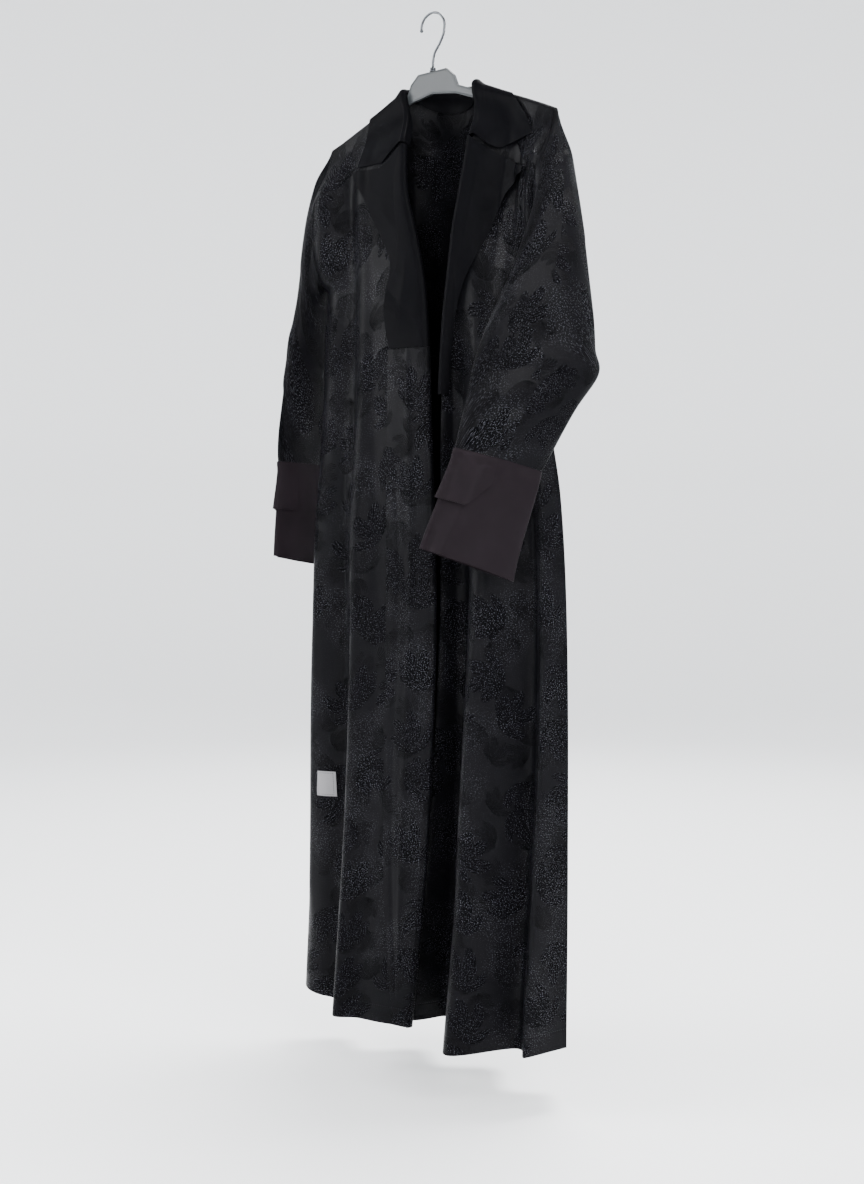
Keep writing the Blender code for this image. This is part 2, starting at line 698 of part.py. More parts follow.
make_hanger_plate(PLASTIC)
make_hook(CHROME)
make_round("hanger_ferrule", FERRULE_RADIUS, PLATE_TOP + 0.0003, FERRULE_TOP, CHROME)
make_back(JACQUARD)
for half in ("right", "left"):
    make_front(half, JACQUARD)
    make_turned(half + "_lapel", half, LAPELS[half], lapel_heights(half, LAPEL_ENDS[half]), SATIN)
    make_sleeve(half, JACQUARD)
    make_cuff(half, CUFF_SATIN)
    make_tab(half, CUFF_SATIN)
turnback = panel_heights("right", TURNBACK_ROW, len(ROWS_DOWN) - 1)
turnback[0] -= SEAM
make_turned("right_turnback", "right", TURNBACK, turnback, JACQUARD)
new_sheet("collar", COLLAR_COLUMNS_ACROSS, COLLAR_STEPS, collar_point, SATIN)
make_label(WOVEN)
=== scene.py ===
# %% [markdown]
# # An open-front abaya cloak on a flat hanger
#
# The cloak hangs by the hook of a grey clothes hanger, turned a little to its
# right. Everything is in metres and +Z is up. The origin is the inside top of
# the hook, +X is the wearer's left and the front faces -Y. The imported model
# gives the frame: its plain walls are replaced here by finer cloth that lies
# on the same surfaces, with the soft creases and the finish of the real one.

# %% Load the frame
import math

import bmesh
import bpy
import numpy as np
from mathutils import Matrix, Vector


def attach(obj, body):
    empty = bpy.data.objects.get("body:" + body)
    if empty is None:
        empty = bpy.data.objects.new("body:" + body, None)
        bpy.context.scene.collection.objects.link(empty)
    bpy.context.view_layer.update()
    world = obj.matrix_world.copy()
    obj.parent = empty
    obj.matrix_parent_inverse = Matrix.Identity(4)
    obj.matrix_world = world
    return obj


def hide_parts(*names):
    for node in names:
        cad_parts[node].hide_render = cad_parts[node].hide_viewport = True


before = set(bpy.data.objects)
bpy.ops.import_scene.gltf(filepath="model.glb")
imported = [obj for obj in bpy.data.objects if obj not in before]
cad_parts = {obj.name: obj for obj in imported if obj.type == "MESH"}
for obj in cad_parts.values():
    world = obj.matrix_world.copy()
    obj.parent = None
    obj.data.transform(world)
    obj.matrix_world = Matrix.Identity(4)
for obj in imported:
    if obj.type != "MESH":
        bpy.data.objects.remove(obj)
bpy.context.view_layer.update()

# %% [markdown]
# ## How the cut is written down
#
# A pattern cutter knows a garment by a few measures at a few heights. The
# tables below are such measures: where the side seam and the open edge hang at
# each height, how deep each fold is, how far each lapel turns out. A smooth
# reading between the rows gives the cloth its flow, so a handful of numbers
# makes a whole panel.

# %% The measures of the two fronts
SEAM = 0.0002
HEM_Z = -1.570
HEM_LIFT = {"right": 0.026, "left": 0.008}
RIDGE_Z = -0.0913
RIDGE_SLOPE = 0.415
HANGER_TILT = 0.055
RIDGE_RADIUS = 0.0056
SETTLE = 0.09
UNDERARM_SHARE = 0.242 / 1.450
ARMHOLE_DEPTH = 0.042
ARMHOLE_FADE = 0.20
NECK_DIP = 0.022
NECK_DEPTH = 0.036
NECK_FADE = 0.12

# Each row: height, side seam x and y, open edge x and y, swell between them.
OUTLINE = {
    "right": (
        (-0.116, -0.200, 0.000, -0.0535, 0.000, 0.010),
        (-0.210, -0.203, 0.000, -0.0230, -0.040, 0.010),
        (-0.280, -0.207, 0.000, -0.0160, -0.046, 0.014),
        (-0.335, -0.211, 0.000, -0.0040, -0.043, 0.016),
        (-0.420, -0.216, 0.000, 0.0120, -0.040, 0.020),
        (-0.510, -0.222, 0.000, 0.0200, -0.040, 0.022),
        (-0.620, -0.230, 0.004, 0.0240, -0.040, 0.024),
        (-0.800, -0.252, 0.010, 0.0310, -0.040, 0.028),
        (-0.970, -0.262, 0.020, 0.0310, -0.038, 0.032),
        (-1.300, -0.288, 0.045, 0.0060, -0.028, 0.040),
        (-1.570, -0.320, 0.075, -0.0500, 0.004, 0.048),
    ),
    "left": (
        (-0.120, 0.233, 0.000, 0.0810, 0.000, 0.010),
        (-0.200, 0.227, 0.000, 0.1040, -0.036, 0.008),
        (-0.290, 0.218, 0.000, 0.0957, -0.050, 0.008),
        (-0.340, 0.216, 0.000, 0.0845, -0.050, 0.010),
        (-0.400, 0.215, 0.000, 0.0753, -0.050, 0.012),
        (-0.480, 0.213, 0.000, 0.0640, -0.050, 0.014),
        (-0.600, 0.212, 0.002, 0.0520, -0.046, 0.016),
        (-0.750, 0.232, 0.008, 0.0340, -0.026, 0.024),
        (-0.950, 0.237, 0.017, 0.0280, -0.020, 0.030),
        (-1.300, 0.231, 0.028, -0.0060, -0.008, 0.036),
        (-1.570, 0.223, 0.036, -0.0640, 0.028, 0.044),
    ),
}

# %% The hanging folds
# Each row: place at the top and at the hem, half width, then the push outwards
# at chest, knee and hem. Places are shares of the panel from its side seam.
FOLD_LEVELS = (-0.36, -0.90, -1.57)
FOLDS = {
    "right": (
        (0.13, 0.12, 0.11, 0.006, 0.016, 0.016),
        (0.33, 0.36, 0.09, -0.006, -0.020, -0.024),
        (0.47, 0.55, 0.08, 0.006, 0.020, 0.026),
    ),
    "left": (
        (0.06, 0.065, 0.095, 0.004, 0.027, 0.064),
        (0.24, 0.235, 0.07, 0.010, -0.010, -0.005),
        (0.58, 0.445, 0.15, -0.012, 0.034, 0.075),
        (0.84, 0.85, 0.14, 0.000, -0.036, -0.078),
    ),
    "back": (
        (0.12, 0.11, 0.07, 0.004, 0.018, 0.026),
        (0.25, 0.23, 0.07, -0.004, -0.016, -0.022),
        (0.38, 0.36, 0.07, 0.004, 0.016, 0.026),
        (0.50, 0.50, 0.06, -0.003, -0.014, -0.022),
        (0.63, 0.65, 0.07, 0.004, 0.018, 0.028),
        (0.76, 0.79, 0.06, -0.004, -0.016, -0.022),
        (0.89, 0.90, 0.06, 0.003, 0.014, 0.022),
    ),
}
BACK_SWELL = ((-0.10, 0.018), (-0.40, 0.050), (-0.90, 0.052), (-1.57, 0.070))

# %% Reading the tables


def read(rows, key, column):
    """A smooth value of one column of a table, at a place in its first column."""
    rising = rows[0][0] < rows[-1][0]
    table = rows if rising else tuple(reversed(rows))
    key = min(max(key, table[0][0]), table[-1][0])
    index = 0
    while index < len(table) - 2 and table[index + 1][0] < key:
        index += 1
    first, second = table[index], table[index + 1]
    span = second[0] - first[0]
    before = table[max(index - 1, 0)]
    after = table[min(index + 2, len(table) - 1)]
    slope_in = (second[column] - before[column]) / (second[0] - before[0])
    slope_out = (after[column] - first[column]) / (after[0] - first[0])
    t = (key - first[0]) / span
    return (first[column] * (1 + 2 * t) * (1 - t) ** 2 + slope_in * span * t * (1 - t) ** 2
            + second[column] * t * t * (3 - 2 * t) - slope_out * span * t * t * (1 - t))


def ease(t):
    t = min(max(t, 0.0), 1.0)
    return t * t * (3 - 2 * t)


def mix(a, b, t):
    return a + (b - a) * t


def bump(distance, width):
    """A soft hump: 1 at no distance, gone at about twice the width."""
    return math.exp(-(distance / width) ** 2)


def outline(side, z):
    return [read(OUTLINE[side], z, column) for column in range(1, 6)]


def ridge_z(x):
    """Height of the shoulder line, where the cloth lies on the hanger."""
    return RIDGE_Z - RIDGE_SLOPE * abs(x) + HANGER_TILT * x


def tip_x(side):
    return OUTLINE[side][0][1]


def neck_x(side):
    return OUTLINE[side][0][3]


def level_at(x):
    """The shoulder line's height, carried straight across the neck."""
    low, high = neck_x("right"), neck_x("left")
    if low < x < high:
        return mix(ridge_z(low), ridge_z(high), (x - low) / (high - low))
    return ridge_z(x)


def hem_z(side, place):
    return HEM_Z + HEM_LIFT[side] * (1.0 - place) ** 3


def underarm_z(side):
    return mix(ridge_z(tip_x(side)), hem_z(side, 0.0), UNDERARM_SHARE)


print("underarm heights:", round(underarm_z("right"), 3), round(underarm_z("left"), 3))

# %% [markdown]
# ## Small creases
#
# Real cloth is never as even as its cut. Where it has lain folded, or pulls
# from the end of the hanger, it keeps creases of a few millimetres. Each is
# written as the line that it follows, its half width and its height; a hump
# across that line is all that light needs. Under them lies a slow, slight
# unevenness, made of a few long waves that never line up.

# %% The crease lines
# Each crease: its points (height, x), half width and push outwards in metres.
CREASES = {
    "right": (
        (((-0.60, -0.150), (-0.95, -0.158), (-1.25, -0.170), (-1.50, -0.188)), 0.0065, 0.0042),
        (((-0.30, -0.150), (-0.45, -0.163), (-0.62, -0.172)), 0.015, -0.0024),
        (((-0.24, -0.180), (-0.33, -0.160), (-0.43, -0.150)), 0.016, 0.0020),
        (((-0.72, -0.215), (-1.00, -0.232), (-1.40, -0.262)), 0.012, 0.0034),
        (((-0.95, -0.105), (-1.20, -0.120), (-1.45, -0.140)), 0.010, -0.0030),
    ),
    "left": (
        (((-0.19, 0.236), (-0.25, 0.226), (-0.33, 0.206)), 0.0080, 0.0030),
        (((-0.30, 0.204), (-0.36, 0.190), (-0.44, 0.178)), 0.0090, -0.0026),
        (((-0.36, 0.166), (-0.44, 0.158), (-0.54, 0.148)), 0.012, 0.0030),
        (((-0.46, 0.126), (-0.54, 0.122), (-0.66, 0.112)), 0.011, -0.0030),
        (((-0.70, 0.150), (-0.95, 0.138), (-1.30, 0.104)), 0.012, 0.0030),
        (((-0.75, 0.195), (-1.10, 0.202), (-1.45, 0.196)), 0.013, -0.0036),
        (((-0.90, 0.090), (-1.20, 0.070), (-1.52, 0.040)), 0.011, 0.0030),
    ),
    "back": (
        (((-0.20, -0.150), (-0.32, -0.120), (-0.50, -0.105)), 0.014, 0.0040),
        (((-0.20, 0.170), (-0.34, 0.140), (-0.52, 0.120)), 0.014, 0.0040),
        (((-0.30, 0.010), (-0.60, 0.004), (-1.00, 0.010)), 0.016, -0.0030),
        (((-0.70, -0.175), (-1.05, -0.190), (-1.45, -0.215)), 0.014, 0.0036),
        (((-0.70, 0.150), (-1.10, 0.160), (-1.45, 0.170)), 0.014, -0.0036),
    ),
}
CREASE_FADE = 0.04
UNEVENNESS = 0.0009


def crease_push(panel, x, z):
    """The sum of a panel's creases at one place, with the slow unevenness."""
    total = 0.0
    for points, width, push in CREASES[panel]:
        start, end = points[0][0], points[-1][0]
        fade = (ease((start - z + CREASE_FADE) / (2 * CREASE_FADE))
                * ease((z - end + CREASE_FADE) / (2 * CREASE_FADE)))
        if fade > 0.0:
            total += push * fade * bump(x - read(points, z, 1), width)
    phase = {"right": 0.3, "left": 1.9, "back": 4.1}[panel]
    slow = (math.sin(31.0 * x + 9.0 * z + phase) + math.sin(23.0 * x - 13.0 * z + 2 * phase)
            + math.sin(47.0 * x + 5.0 * z - phase))
    return total + UNEVENNESS * slow


print("creases:", {panel: len(rows) for panel, rows in CREASES.items()})

# %% [markdown]
# ## The surfaces of the body
#
# Front and back hang as two curtains from the shoulder line. At the top they
# round over the hanger's arms; a hand's breadth lower they have settled into
# their folds. At each side they bow out round the armhole, which stays open.

# %% Surface of the fronts and the back


def armhole_depth(side, z):
    """Half the armhole's opening, front to back, at a height."""
    top, low = ridge_z(tip_x(side)), underarm_z(side)
    share = min(abs(2 * z - top - low) / (top - low), 1.0)
    return ARMHOLE_DEPTH * math.sqrt(1.0 - share * share)


def ridge_round(below):
    rise = RIDGE_RADIUS - min(max(below, 0.0), RIDGE_RADIUS)
    return max(SEAM, math.sqrt(RIDGE_RADIUS ** 2 - rise ** 2))


def fold_push(panel, place, z):
    down = (FOLD_LEVELS[0] - z) / (FOLD_LEVELS[0] - FOLD_LEVELS[2])
    total = 0.0
    for top, hem, half_width, *pushes in FOLDS[panel]:
        centre = mix(top, hem, min(max(down, 0.0), 1.0))
        total += read(tuple(zip(FOLD_LEVELS, pushes)), z, 1) * bump(place - centre, half_width)
    return total * min(1.0, place * (1.0 - place) * 14)


def front_point(side, place, z, creased=True):
    """A point of a front: place 0 is its side seam, 1 its open edge."""
    side_x, side_y, edge_x, edge_y, swell = outline(side, z)
    top = ridge_z(mix(tip_x(side), neck_x(side), place))
    below = max(top - z, 0.0)
    arch = math.sin(math.pi * min(max(place, 0.0), 1.0)) ** 0.8
    armhole = armhole_depth(side, z) * bump(place, ARMHOLE_FADE)
    depth = mix(side_y - SEAM, edge_y, place) - swell * arch - armhole
    depth -= fold_push(side, place, z)
    settled = ease(below / SETTLE)
    x = mix(side_x, edge_x, place)
    inset = min(1.0, place * 12) * min(1.0, (1.0 - place) * 9) * ease(below / 0.03)
    push = crease_push(side, x, z) * max(inset, 0.0) if creased else 0.0
    return Vector((x, mix(-ridge_round(below), depth, settled) - push, z))


def back_top(place):
    """Height of the back's upper edge: two shoulders and the neckline between."""
    x = mix(tip_x("right"), tip_x("left"), place)
    share = (x - neck_x("right")) / (neck_x("left") - neck_x("right"))
    if 0.0 < share < 1.0:
        return level_at(x) - NECK_DIP * math.sin(math.pi * share) ** 0.7
    return ridge_z(x)


def back_hem_z(place):
    side = "right" if place < 0.5 else "left"
    return HEM_Z + HEM_LIFT[side] * abs(2 * place - 1) ** 3


def back_point(place, z):
    """A point of the back: place 0 is the right side seam, 1 the left one."""
    right_x, right_y = outline("right", z)[:2]
    left_x, left_y = outline("left", z)[:2]
    x = mix(right_x, left_x, place)
    top_x = mix(tip_x("right"), tip_x("left"), place)
    inside = (top_x - neck_x("right")) / (neck_x("left") - neck_x("right"))
    push = NECK_DEPTH * math.sin(math.pi * inside) ** 0.6 if 0.0 < inside < 1.0 else 0.0
    below = max(level_at(top_x) - z, 0.0)
    push *= math.exp(-max(below - NECK_DIP, 0.0) / NECK_FADE)
    arch = math.sin(math.pi * min(max(place, 0.0), 1.0)) ** 0.8
    depth = mix(right_y, left_y, place) + SEAM + read(BACK_SWELL, z, 1) * arch
    depth += armhole_depth("right", z) * bump(2 * place, ARMHOLE_FADE)
    depth += armhole_depth("left", z) * bump(2 * (1 - place), ARMHOLE_FADE)
    depth += fold_push("back", place, z)
    inset = min(1.0, place * 20, (1.0 - place) * 20) * ease((below - 0.02) / 0.05)
    depth += crease_push("back", x, z) * max(inset, 0.0)
    return Vector((x, mix(ridge_round(below), depth, ease(below / SETTLE)) + push, z))


# %% Laying a piece on a surface


def outward(sample, x_step=0.004, z_step=0.006):
    """Unit normal of a surface sampled at (across, down)."""
    across = sample(x_step, 0.0) - sample(-x_step, 0.0)
    down = sample(0.0, -z_step) - sample(0.0, z_step)
    return across.cross(down).normalized()


def front_at(side, x, z):
    """The smooth front that a piece on top lies on: it bridges the small creases."""
    side_x, _, edge_x, _, _ = outline(side, z)
    return front_point(side, (x - side_x) / (edge_x - side_x), z, creased=False)


def over_front(side, x, z, lift):
    normal = outward(lambda dx, dz: front_at(side, x + dx, z + dz))
    if normal.y > 0:
        normal = -normal
    return front_at(side, x, z) + normal * lift


def over_back(x, z, lift):
    def at(dx, dz):
        right_x, left_x = outline("right", z + dz)[0], outline("left", z + dz)[0]
        return back_point((x + dx - right_x) / (left_x - right_x), z + dz)
    normal = outward(at)
    if normal.y < 0:
        normal = -normal
    return at(0.0, 0.0) + normal * lift


def over_ridge(x, drop, lift):
    """A point above the shoulder: drop < 0 lies on the front, > 0 on the back."""
    level = level_at(x)
    if drop < 0:
        side = "right" if x < (neck_x("right") + neck_x("left")) / 2 else "left"
        side_point = over_front(side, x, level + drop, lift)
    else:
        side_point = over_back(x, level - drop, lift)
    crown = Vector((x, 0.0, level + lift))
    if abs(drop) > 0:
        crown.y = math.copysign(min(abs(drop), lift + RIDGE_RADIUS), drop)
    return crown.lerp(side_point, ease(abs(drop) / 0.016))


# %% [markdown]
# ## From a surface to cloth
#
# Every panel starts as a flat grid, as cloth starts flat on the cutting table.
# Its points are then moved onto the surface. Two things are measured while
# they still lie in rows: the UV map gets real metres along the threads, so a
# woven pattern bends with the folds and keeps its size, and an attribute
# called edge_way gets the distance to the hem, which the stitching needs. A
# Solidify modifier gives the cloth its thickness, inwards.

# %% The cloth maker
CLOTH = 0.0009


def put_in_scene(name, data):
    """A new object at the origin, in the scene's collection."""
    piece = bpy.data.objects.new(name, data)
    bpy.context.scene.collection.objects.link(piece)
    return piece


def finish_mesh(bm, name, material):
    """Turns a bmesh into a mesh with one material."""
    mesh = bpy.data.meshes.new(name)
    bm.to_mesh(mesh)
    bm.free()
    mesh.materials.append(material)
    return mesh


def lengths(points, axis):
    """Length along the rows or the columns of a grid of points, from its start."""
    steps = np.linalg.norm(np.diff(points, axis=axis), axis=2)
    run = np.cumsum(steps, axis=axis)
    pad = [(0, 0), (0, 0)]
    pad[axis] = (1, 0)
    return np.pad(run, pad)


def make_cloth(name, columns, rows, place, material, close_around=False, flip=False,
               thickness=CLOTH, hem_at="bottom"):
    """A sheet of cloth on a surface that place(across, down) describes."""
    points = np.array([[place(i / columns, j / rows) for i in range(columns + 1)]
                       for j in range(rows + 1)])
    across, down = lengths(points, 1), lengths(points, 0)
    bm = bmesh.new()
    bmesh.ops.create_grid(bm, x_segments=columns, y_segments=rows, size=1.0)
    uv = bm.loops.layers.uv.new("thread_metres")
    edge_way = bm.verts.layers.float.new("edge_way")
    spot = {}
    for vert in bm.verts:
        i = round((vert.co.x + 1) / 2 * columns)
        j = round((1 - vert.co.y) / 2 * rows)
        spot[vert] = (j, i)
        vert.co = points[j, i]
        from_sides = min(across[j, i], across[j, -1] - across[j, i])
        vert[edge_way] = {"bottom": down[-1, i] - down[j, i], "sides": from_sides,
                          "none": 1.0}[hem_at]
    for face in bm.faces:
        face.smooth = True
        for loop in face.loops:
            j, i = spot[loop.vert]
            loop[uv].uv = (across[j, i], -down[j, i])
    if close_around:
        bmesh.ops.remove_doubles(bm, verts=bm.verts, dist=1e-6)
    if flip:
        bmesh.ops.reverse_faces(bm, faces=bm.faces)
    for edge in bm.edges:
        edge.smooth = not edge.is_boundary
    piece = put_in_scene(name, finish_mesh(bm, name, material))
    wall = piece.modifiers.new("Thickness", "SOLIDIFY")
    wall.thickness = thickness
    wall.offset = -1.0
    piece["flat_width"] = float(across[:, -1].mean())
    piece["flat_length"] = float(down[-1, :].mean())
    area = float((np.diff(across, axis=1)[1:] * np.diff(down, axis=0)[:, 1:]).sum())
    piece["flat_area"] = area
    print(name, "columns", columns, "rows", rows, "flat", round(piece["flat_width"], 3),
          "x", round(piece["flat_length"], 3), "m, area", round(area, 3))
    return piece


def claim(piece, node):
    """Hangs a piece on the root body and hides the frame's solid that it stands for."""
    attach(piece, "root")
    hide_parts(node)


def hand_over(piece, node):
    """Passes a finished cloth piece to claim and takes its flat-cut measures off it again."""
    claim(piece, node)
    width, length, area = (piece.pop(key) for key in ("flat_width", "flat_length", "flat_area"))
    area = min(area, 0.998 * width * length)
    return piece


# %% [markdown]
# ## Colours and nodes
#
# Colours are written as the hex values that a designer would read off a
# swatch, and one function turns them linear. Another small function adds a
# node, sets it and links it, so each material reads as a recipe.

# %% Colour and node helpers


def swatch(hex_value):
    """An sRGB hex colour as linear RGBA."""
    channels = [int(hex_value[i:i + 2], 16) / 255 for i in (1, 3, 5)]
    linear = [c / 12.92 if c <= 0.04045 else ((c + 0.055) / 1.055) ** 2.4 for c in channels]
    return (*linear, 1.0)


def add(tree, kind, settings=None, **inputs):
    """Adds a node. Inputs are values or sockets; a_0, a_1 stand for inputs by number."""
    node = tree.nodes.new("ShaderNode" + kind)
    for key, value in (settings or {}).items():
        setattr(node, key, value)
    for key, value in inputs.items():
        name = int(key[2:]) if key.startswith("a_") else key.replace("_", " ")
        if isinstance(value, bpy.types.NodeSocket):
            tree.links.new(value, node.inputs[name])
        else:
            node.inputs[name].default_value = value
    return node


def math_node(tree, operation, *values):
    inputs = {f"a_{i}": value for i, value in enumerate(values)}
    return add(tree, "Math", {"operation": operation}, **inputs).outputs[0]


def noise(tree, place, scale, detail, dimensions="2D"):
    return add(tree, "TexNoise", {"noise_dimensions": dimensions}, Vector=place, Scale=scale,
               Detail=detail).outputs[0]


def blend(tree, share, low, high):
    """A colour between two swatches, or between a socket and a swatch."""
    return add(tree, "Mix", {"data_type": "RGBA"}, a_0=share, a_6=low, a_7=high).outputs[2]


def raise_surface(tree, shader, relief, strength=1.0):
    """Bends the light as a relief in metres would."""
    raised = add(tree, "Bump", Strength=strength, Distance=1.0, Height=relief)
    tree.links.new(raised.outputs[0], shader.inputs["Normal"])


def new_material(name, **sockets):
    """A Principled material; words are its sockets, set directly."""
    material = bpy.data.materials.new(name)
    material.use_nodes = True
    shader = material.node_tree.nodes["Principled BSDF"]
    for key, value in sockets.items():
        shader.inputs[key.replace("_", " ")].default_value = value
    return material, material.node_tree, shader


def smooth_step(tree, value, low, high):
    """0 below low, 1 above high, soft between."""
    node = add(tree, "MapRange", {"interpolation_type": "SMOOTHSTEP"},
               Value=value, From_Min=low, From_Max=high)
    return node.outputs["Result"]


# %% [markdown]
# ## The jacquard
#
# The cloak's cloth is a jacquard: a black satin ground, and on it scattered
# sprays of feathery leaves in threads that lie the other way. Both are black.
# Only the shine tells them apart, so the pattern lives in roughness, a breath
# of colour and a little height. Voronoi cells scatter the sprays about 90 mm
# apart; inside each cell, angle and radius round its own point draw a fan of
# leaflets, hatched with rays and broken into short dashes.

# %% The jacquard's nodes
SPRAY_CELL = 0.088
GLINT_SCALE = 560.0
HEM_TURNED_UP = 0.028
HEM_STITCH = 0.004


def spray_mask(tree, thread, cell, turn):
    """Fans of hatched leaflets, one in each cell of a scattered lattice."""
    scaled = add(tree, "VectorMath", {"operation": "SCALE"}, a_0=thread, Scale=1 / cell)
    lattice = add(tree, "TexVoronoi", {"voronoi_dimensions": "2D"},
                  Vector=scaled.outputs[0], Scale=1.0, Randomness=0.80)
    local = add(tree, "VectorMath", {"operation": "SUBTRACT"}, a_0=scaled.outputs[0],
                a_1=lattice.outputs["Position"])
    chance = add(tree, "SeparateColor", Color=lattice.outputs["Color"])
    angle = math_node(tree, "MULTIPLY_ADD", chance.outputs[0], 2 * math.pi, turn)
    turned = add(tree, "VectorRotate", {"rotation_type": "Z_AXIS"}, Vector=local.outputs[0],
                 Angle=angle)
    based = add(tree, "VectorMath", {"operation": "ADD"}, a_0=turned.outputs[0],
                a_1=(0.24, 0.0, 0.0))
    axes = add(tree, "SeparateXYZ", Vector=based.outputs[0])
    reach = add(tree, "VectorMath", {"operation": "LENGTH"}, a_0=based.outputs[0]).outputs["Value"]
    fan = math_node(tree, "ARCTAN2", axes.outputs[1], axes.outputs[0])
    curl = math_node(tree, "MULTIPLY_ADD", reach, 1.1, fan)
    leaf = math_node(tree, "ABSOLUTE", math_node(tree, "COSINE",
                                                 math_node(tree, "MULTIPLY", curl, 4.5)))
    spread = math_node(tree, "COSINE", math_node(tree, "MULTIPLY", fan, 0.80))
    longest = math_node(tree, "MULTIPLY", math_node(tree, "MAXIMUM", spread, 0.0),
                        math_node(tree, "MULTIPLY_ADD", leaf, 0.30, 0.46))
    inside = smooth_step(tree, math_node(tree, "SUBTRACT", longest, reach), 0.0, 0.05)
    rays = math_node(tree, "SINE", math_node(tree, "MULTIPLY", curl, 62.0))
    steps = math_node(tree, "SINE", math_node(tree, "MULTIPLY_ADD", reach, 50.0,
                                              math_node(tree, "MULTIPLY", leaf, 5.0)))
    hatch = smooth_step(tree, math_node(tree, "MULTIPLY_ADD", steps, 0.25, rays), -0.45, 0.45)
    vein = smooth_step(tree, leaf, 0.06, 0.22)
    drawn = math_node(tree, "MULTIPLY", inside, math_node(tree, "MULTIPLY", hatch, vein))
    return drawn, inside


def glint_mask(tree, thread, leaf_area):
    """Specks where a raised thread turns to the light, thickest in the sprays; in the base colour
    they are painted glints.
    """
    speck = noise(tree, thread, GLINT_SCALE, 1.0)
    cloud = noise(tree, thread, 11.0, 1.0)
    drift = smooth_step(tree, cloud, 0.42, 0.66)
    where = math_node(tree, "MULTIPLY_ADD", leaf_area, 0.55,
                      math_node(tree, "MULTIPLY_ADD", drift, 0.55, 0.06))
    return math_node(tree, "MULTIPLY", smooth_step(tree, speck, 0.63, 0.73), where)


def make_jacquard():
    """Black polyester jacquard: satin ground, sprays in matt threads and shinier raised ones, with
    painted glints lightening the colour in their specks.
    """
    material, tree, shader = new_material(
        "black_jacquard_satin_ground", Metallic=0.0, IOR=1.17, Sheen_Weight=0.008,
        Sheen_Roughness=0.4, Sheen_Tint=swatch("#8c8f98"))
    thread = add(tree, "UVMap", {"uv_map": "thread_metres"}).outputs["UV"]
    large, leaf_area = spray_mask(tree, thread, SPRAY_CELL, 0.0)
    shifted = add(tree, "VectorMath", {"operation": "ADD"}, a_0=thread,
                  a_1=(3.137, 1.713, 0.0)).outputs[0]
    small, _ = spray_mask(tree, shifted, SPRAY_CELL * 0.62, 1.3)
    small = math_node(tree, "MULTIPLY", small, math_node(tree, "SUBTRACT", 1.0, leaf_area))
    glints = glint_mask(tree, thread, leaf_area)
    figure = math_node(tree, "MAXIMUM", large, math_node(tree, "MULTIPLY", small, 0.75))
    # Silk-like streaks follow the warp: 0.9 mm wide, some 20 mm long.
    warp = add(tree, "Mapping", Vector=thread, Scale=(1100.0, 50.0, 1.0)).outputs[0]
    streak = noise(tree, warp, 1.0, 2.0)
    colour = blend(tree, figure, swatch("#070709"), swatch("#030304"))
    # Painted highlight: the glint specks lighten the base colour towards pale grey, where lit raised
    # threads would shine.
    glint_painted_colour = blend(tree, glints, colour, swatch("#35353d"))
    tree.links.new(glint_painted_colour, shader.inputs["Base Color"])
    # The whole spray is matter than the satin ground; its raised lines most of all.
    shine = math_node(tree, "MULTIPLY_ADD", leaf_area, -0.10, 0.25)
    shine = math_node(tree, "MULTIPLY_ADD", figure, -0.11, shine)
    shine = math_node(tree, "MULTIPLY_ADD", glints, 2.2, shine)
    tree.links.new(shine, shader.inputs["Specular IOR Level"])
    rough = math_node(tree, "MULTIPLY_ADD", figure, 0.16, 0.42)
    rough = math_node(tree, "MULTIPLY_ADD", glints, -0.16, rough)
    rough = math_node(tree, "MULTIPLY_ADD", math_node(tree, "SUBTRACT", streak, 0.5), 0.10, rough)
    tree.links.new(rough, shader.inputs["Roughness"])
    # The hem is turned up and sewn: a shallow dent with a stitch every 4 mm.
    edge = add(tree, "Attribute", {"attribute_name": "edge_way"}).outputs["Fac"]
    off_line = math_node(tree, "ABSOLUTE", math_node(tree, "SUBTRACT", edge, HEM_TURNED_UP))
    dent = math_node(tree, "SUBTRACT", 1.0, smooth_step(tree, off_line, 0.0003, 0.0016))
    across = add(tree, "SeparateXYZ", Vector=thread).outputs[0]
    stitches = math_node(tree, "SINE", math_node(tree, "MULTIPLY", across, 2 * math.pi / HEM_STITCH))
    sewn = math_node(tree, "MULTIPLY", dent, math_node(tree, "MULTIPLY_ADD", stitches, 0.3, 0.7))
    relief = math_node(tree, "MULTIPLY_ADD", figure, 0.00060,
                       math_node(tree, "MULTIPLY", streak, 0.00005))
    relief = math_node(tree, "MULTIPLY_ADD", glints, 0.00030, relief)
    relief = math_node(tree, "MULTIPLY_ADD", sewn, -0.0007, relief)
    raise_surface(tree, shader, relief)
    return material


# %% [markdown]
# ## The satins
#
# Collar and lapels are plain satin: long floats of smooth thread, darker than
# the patterned cloth, with a broad soft sheen. The cuffs are a warmer,
# slightly duller satin. Fine slubs along the thread keep both from looking
# like plastic.

# %% The satins' nodes


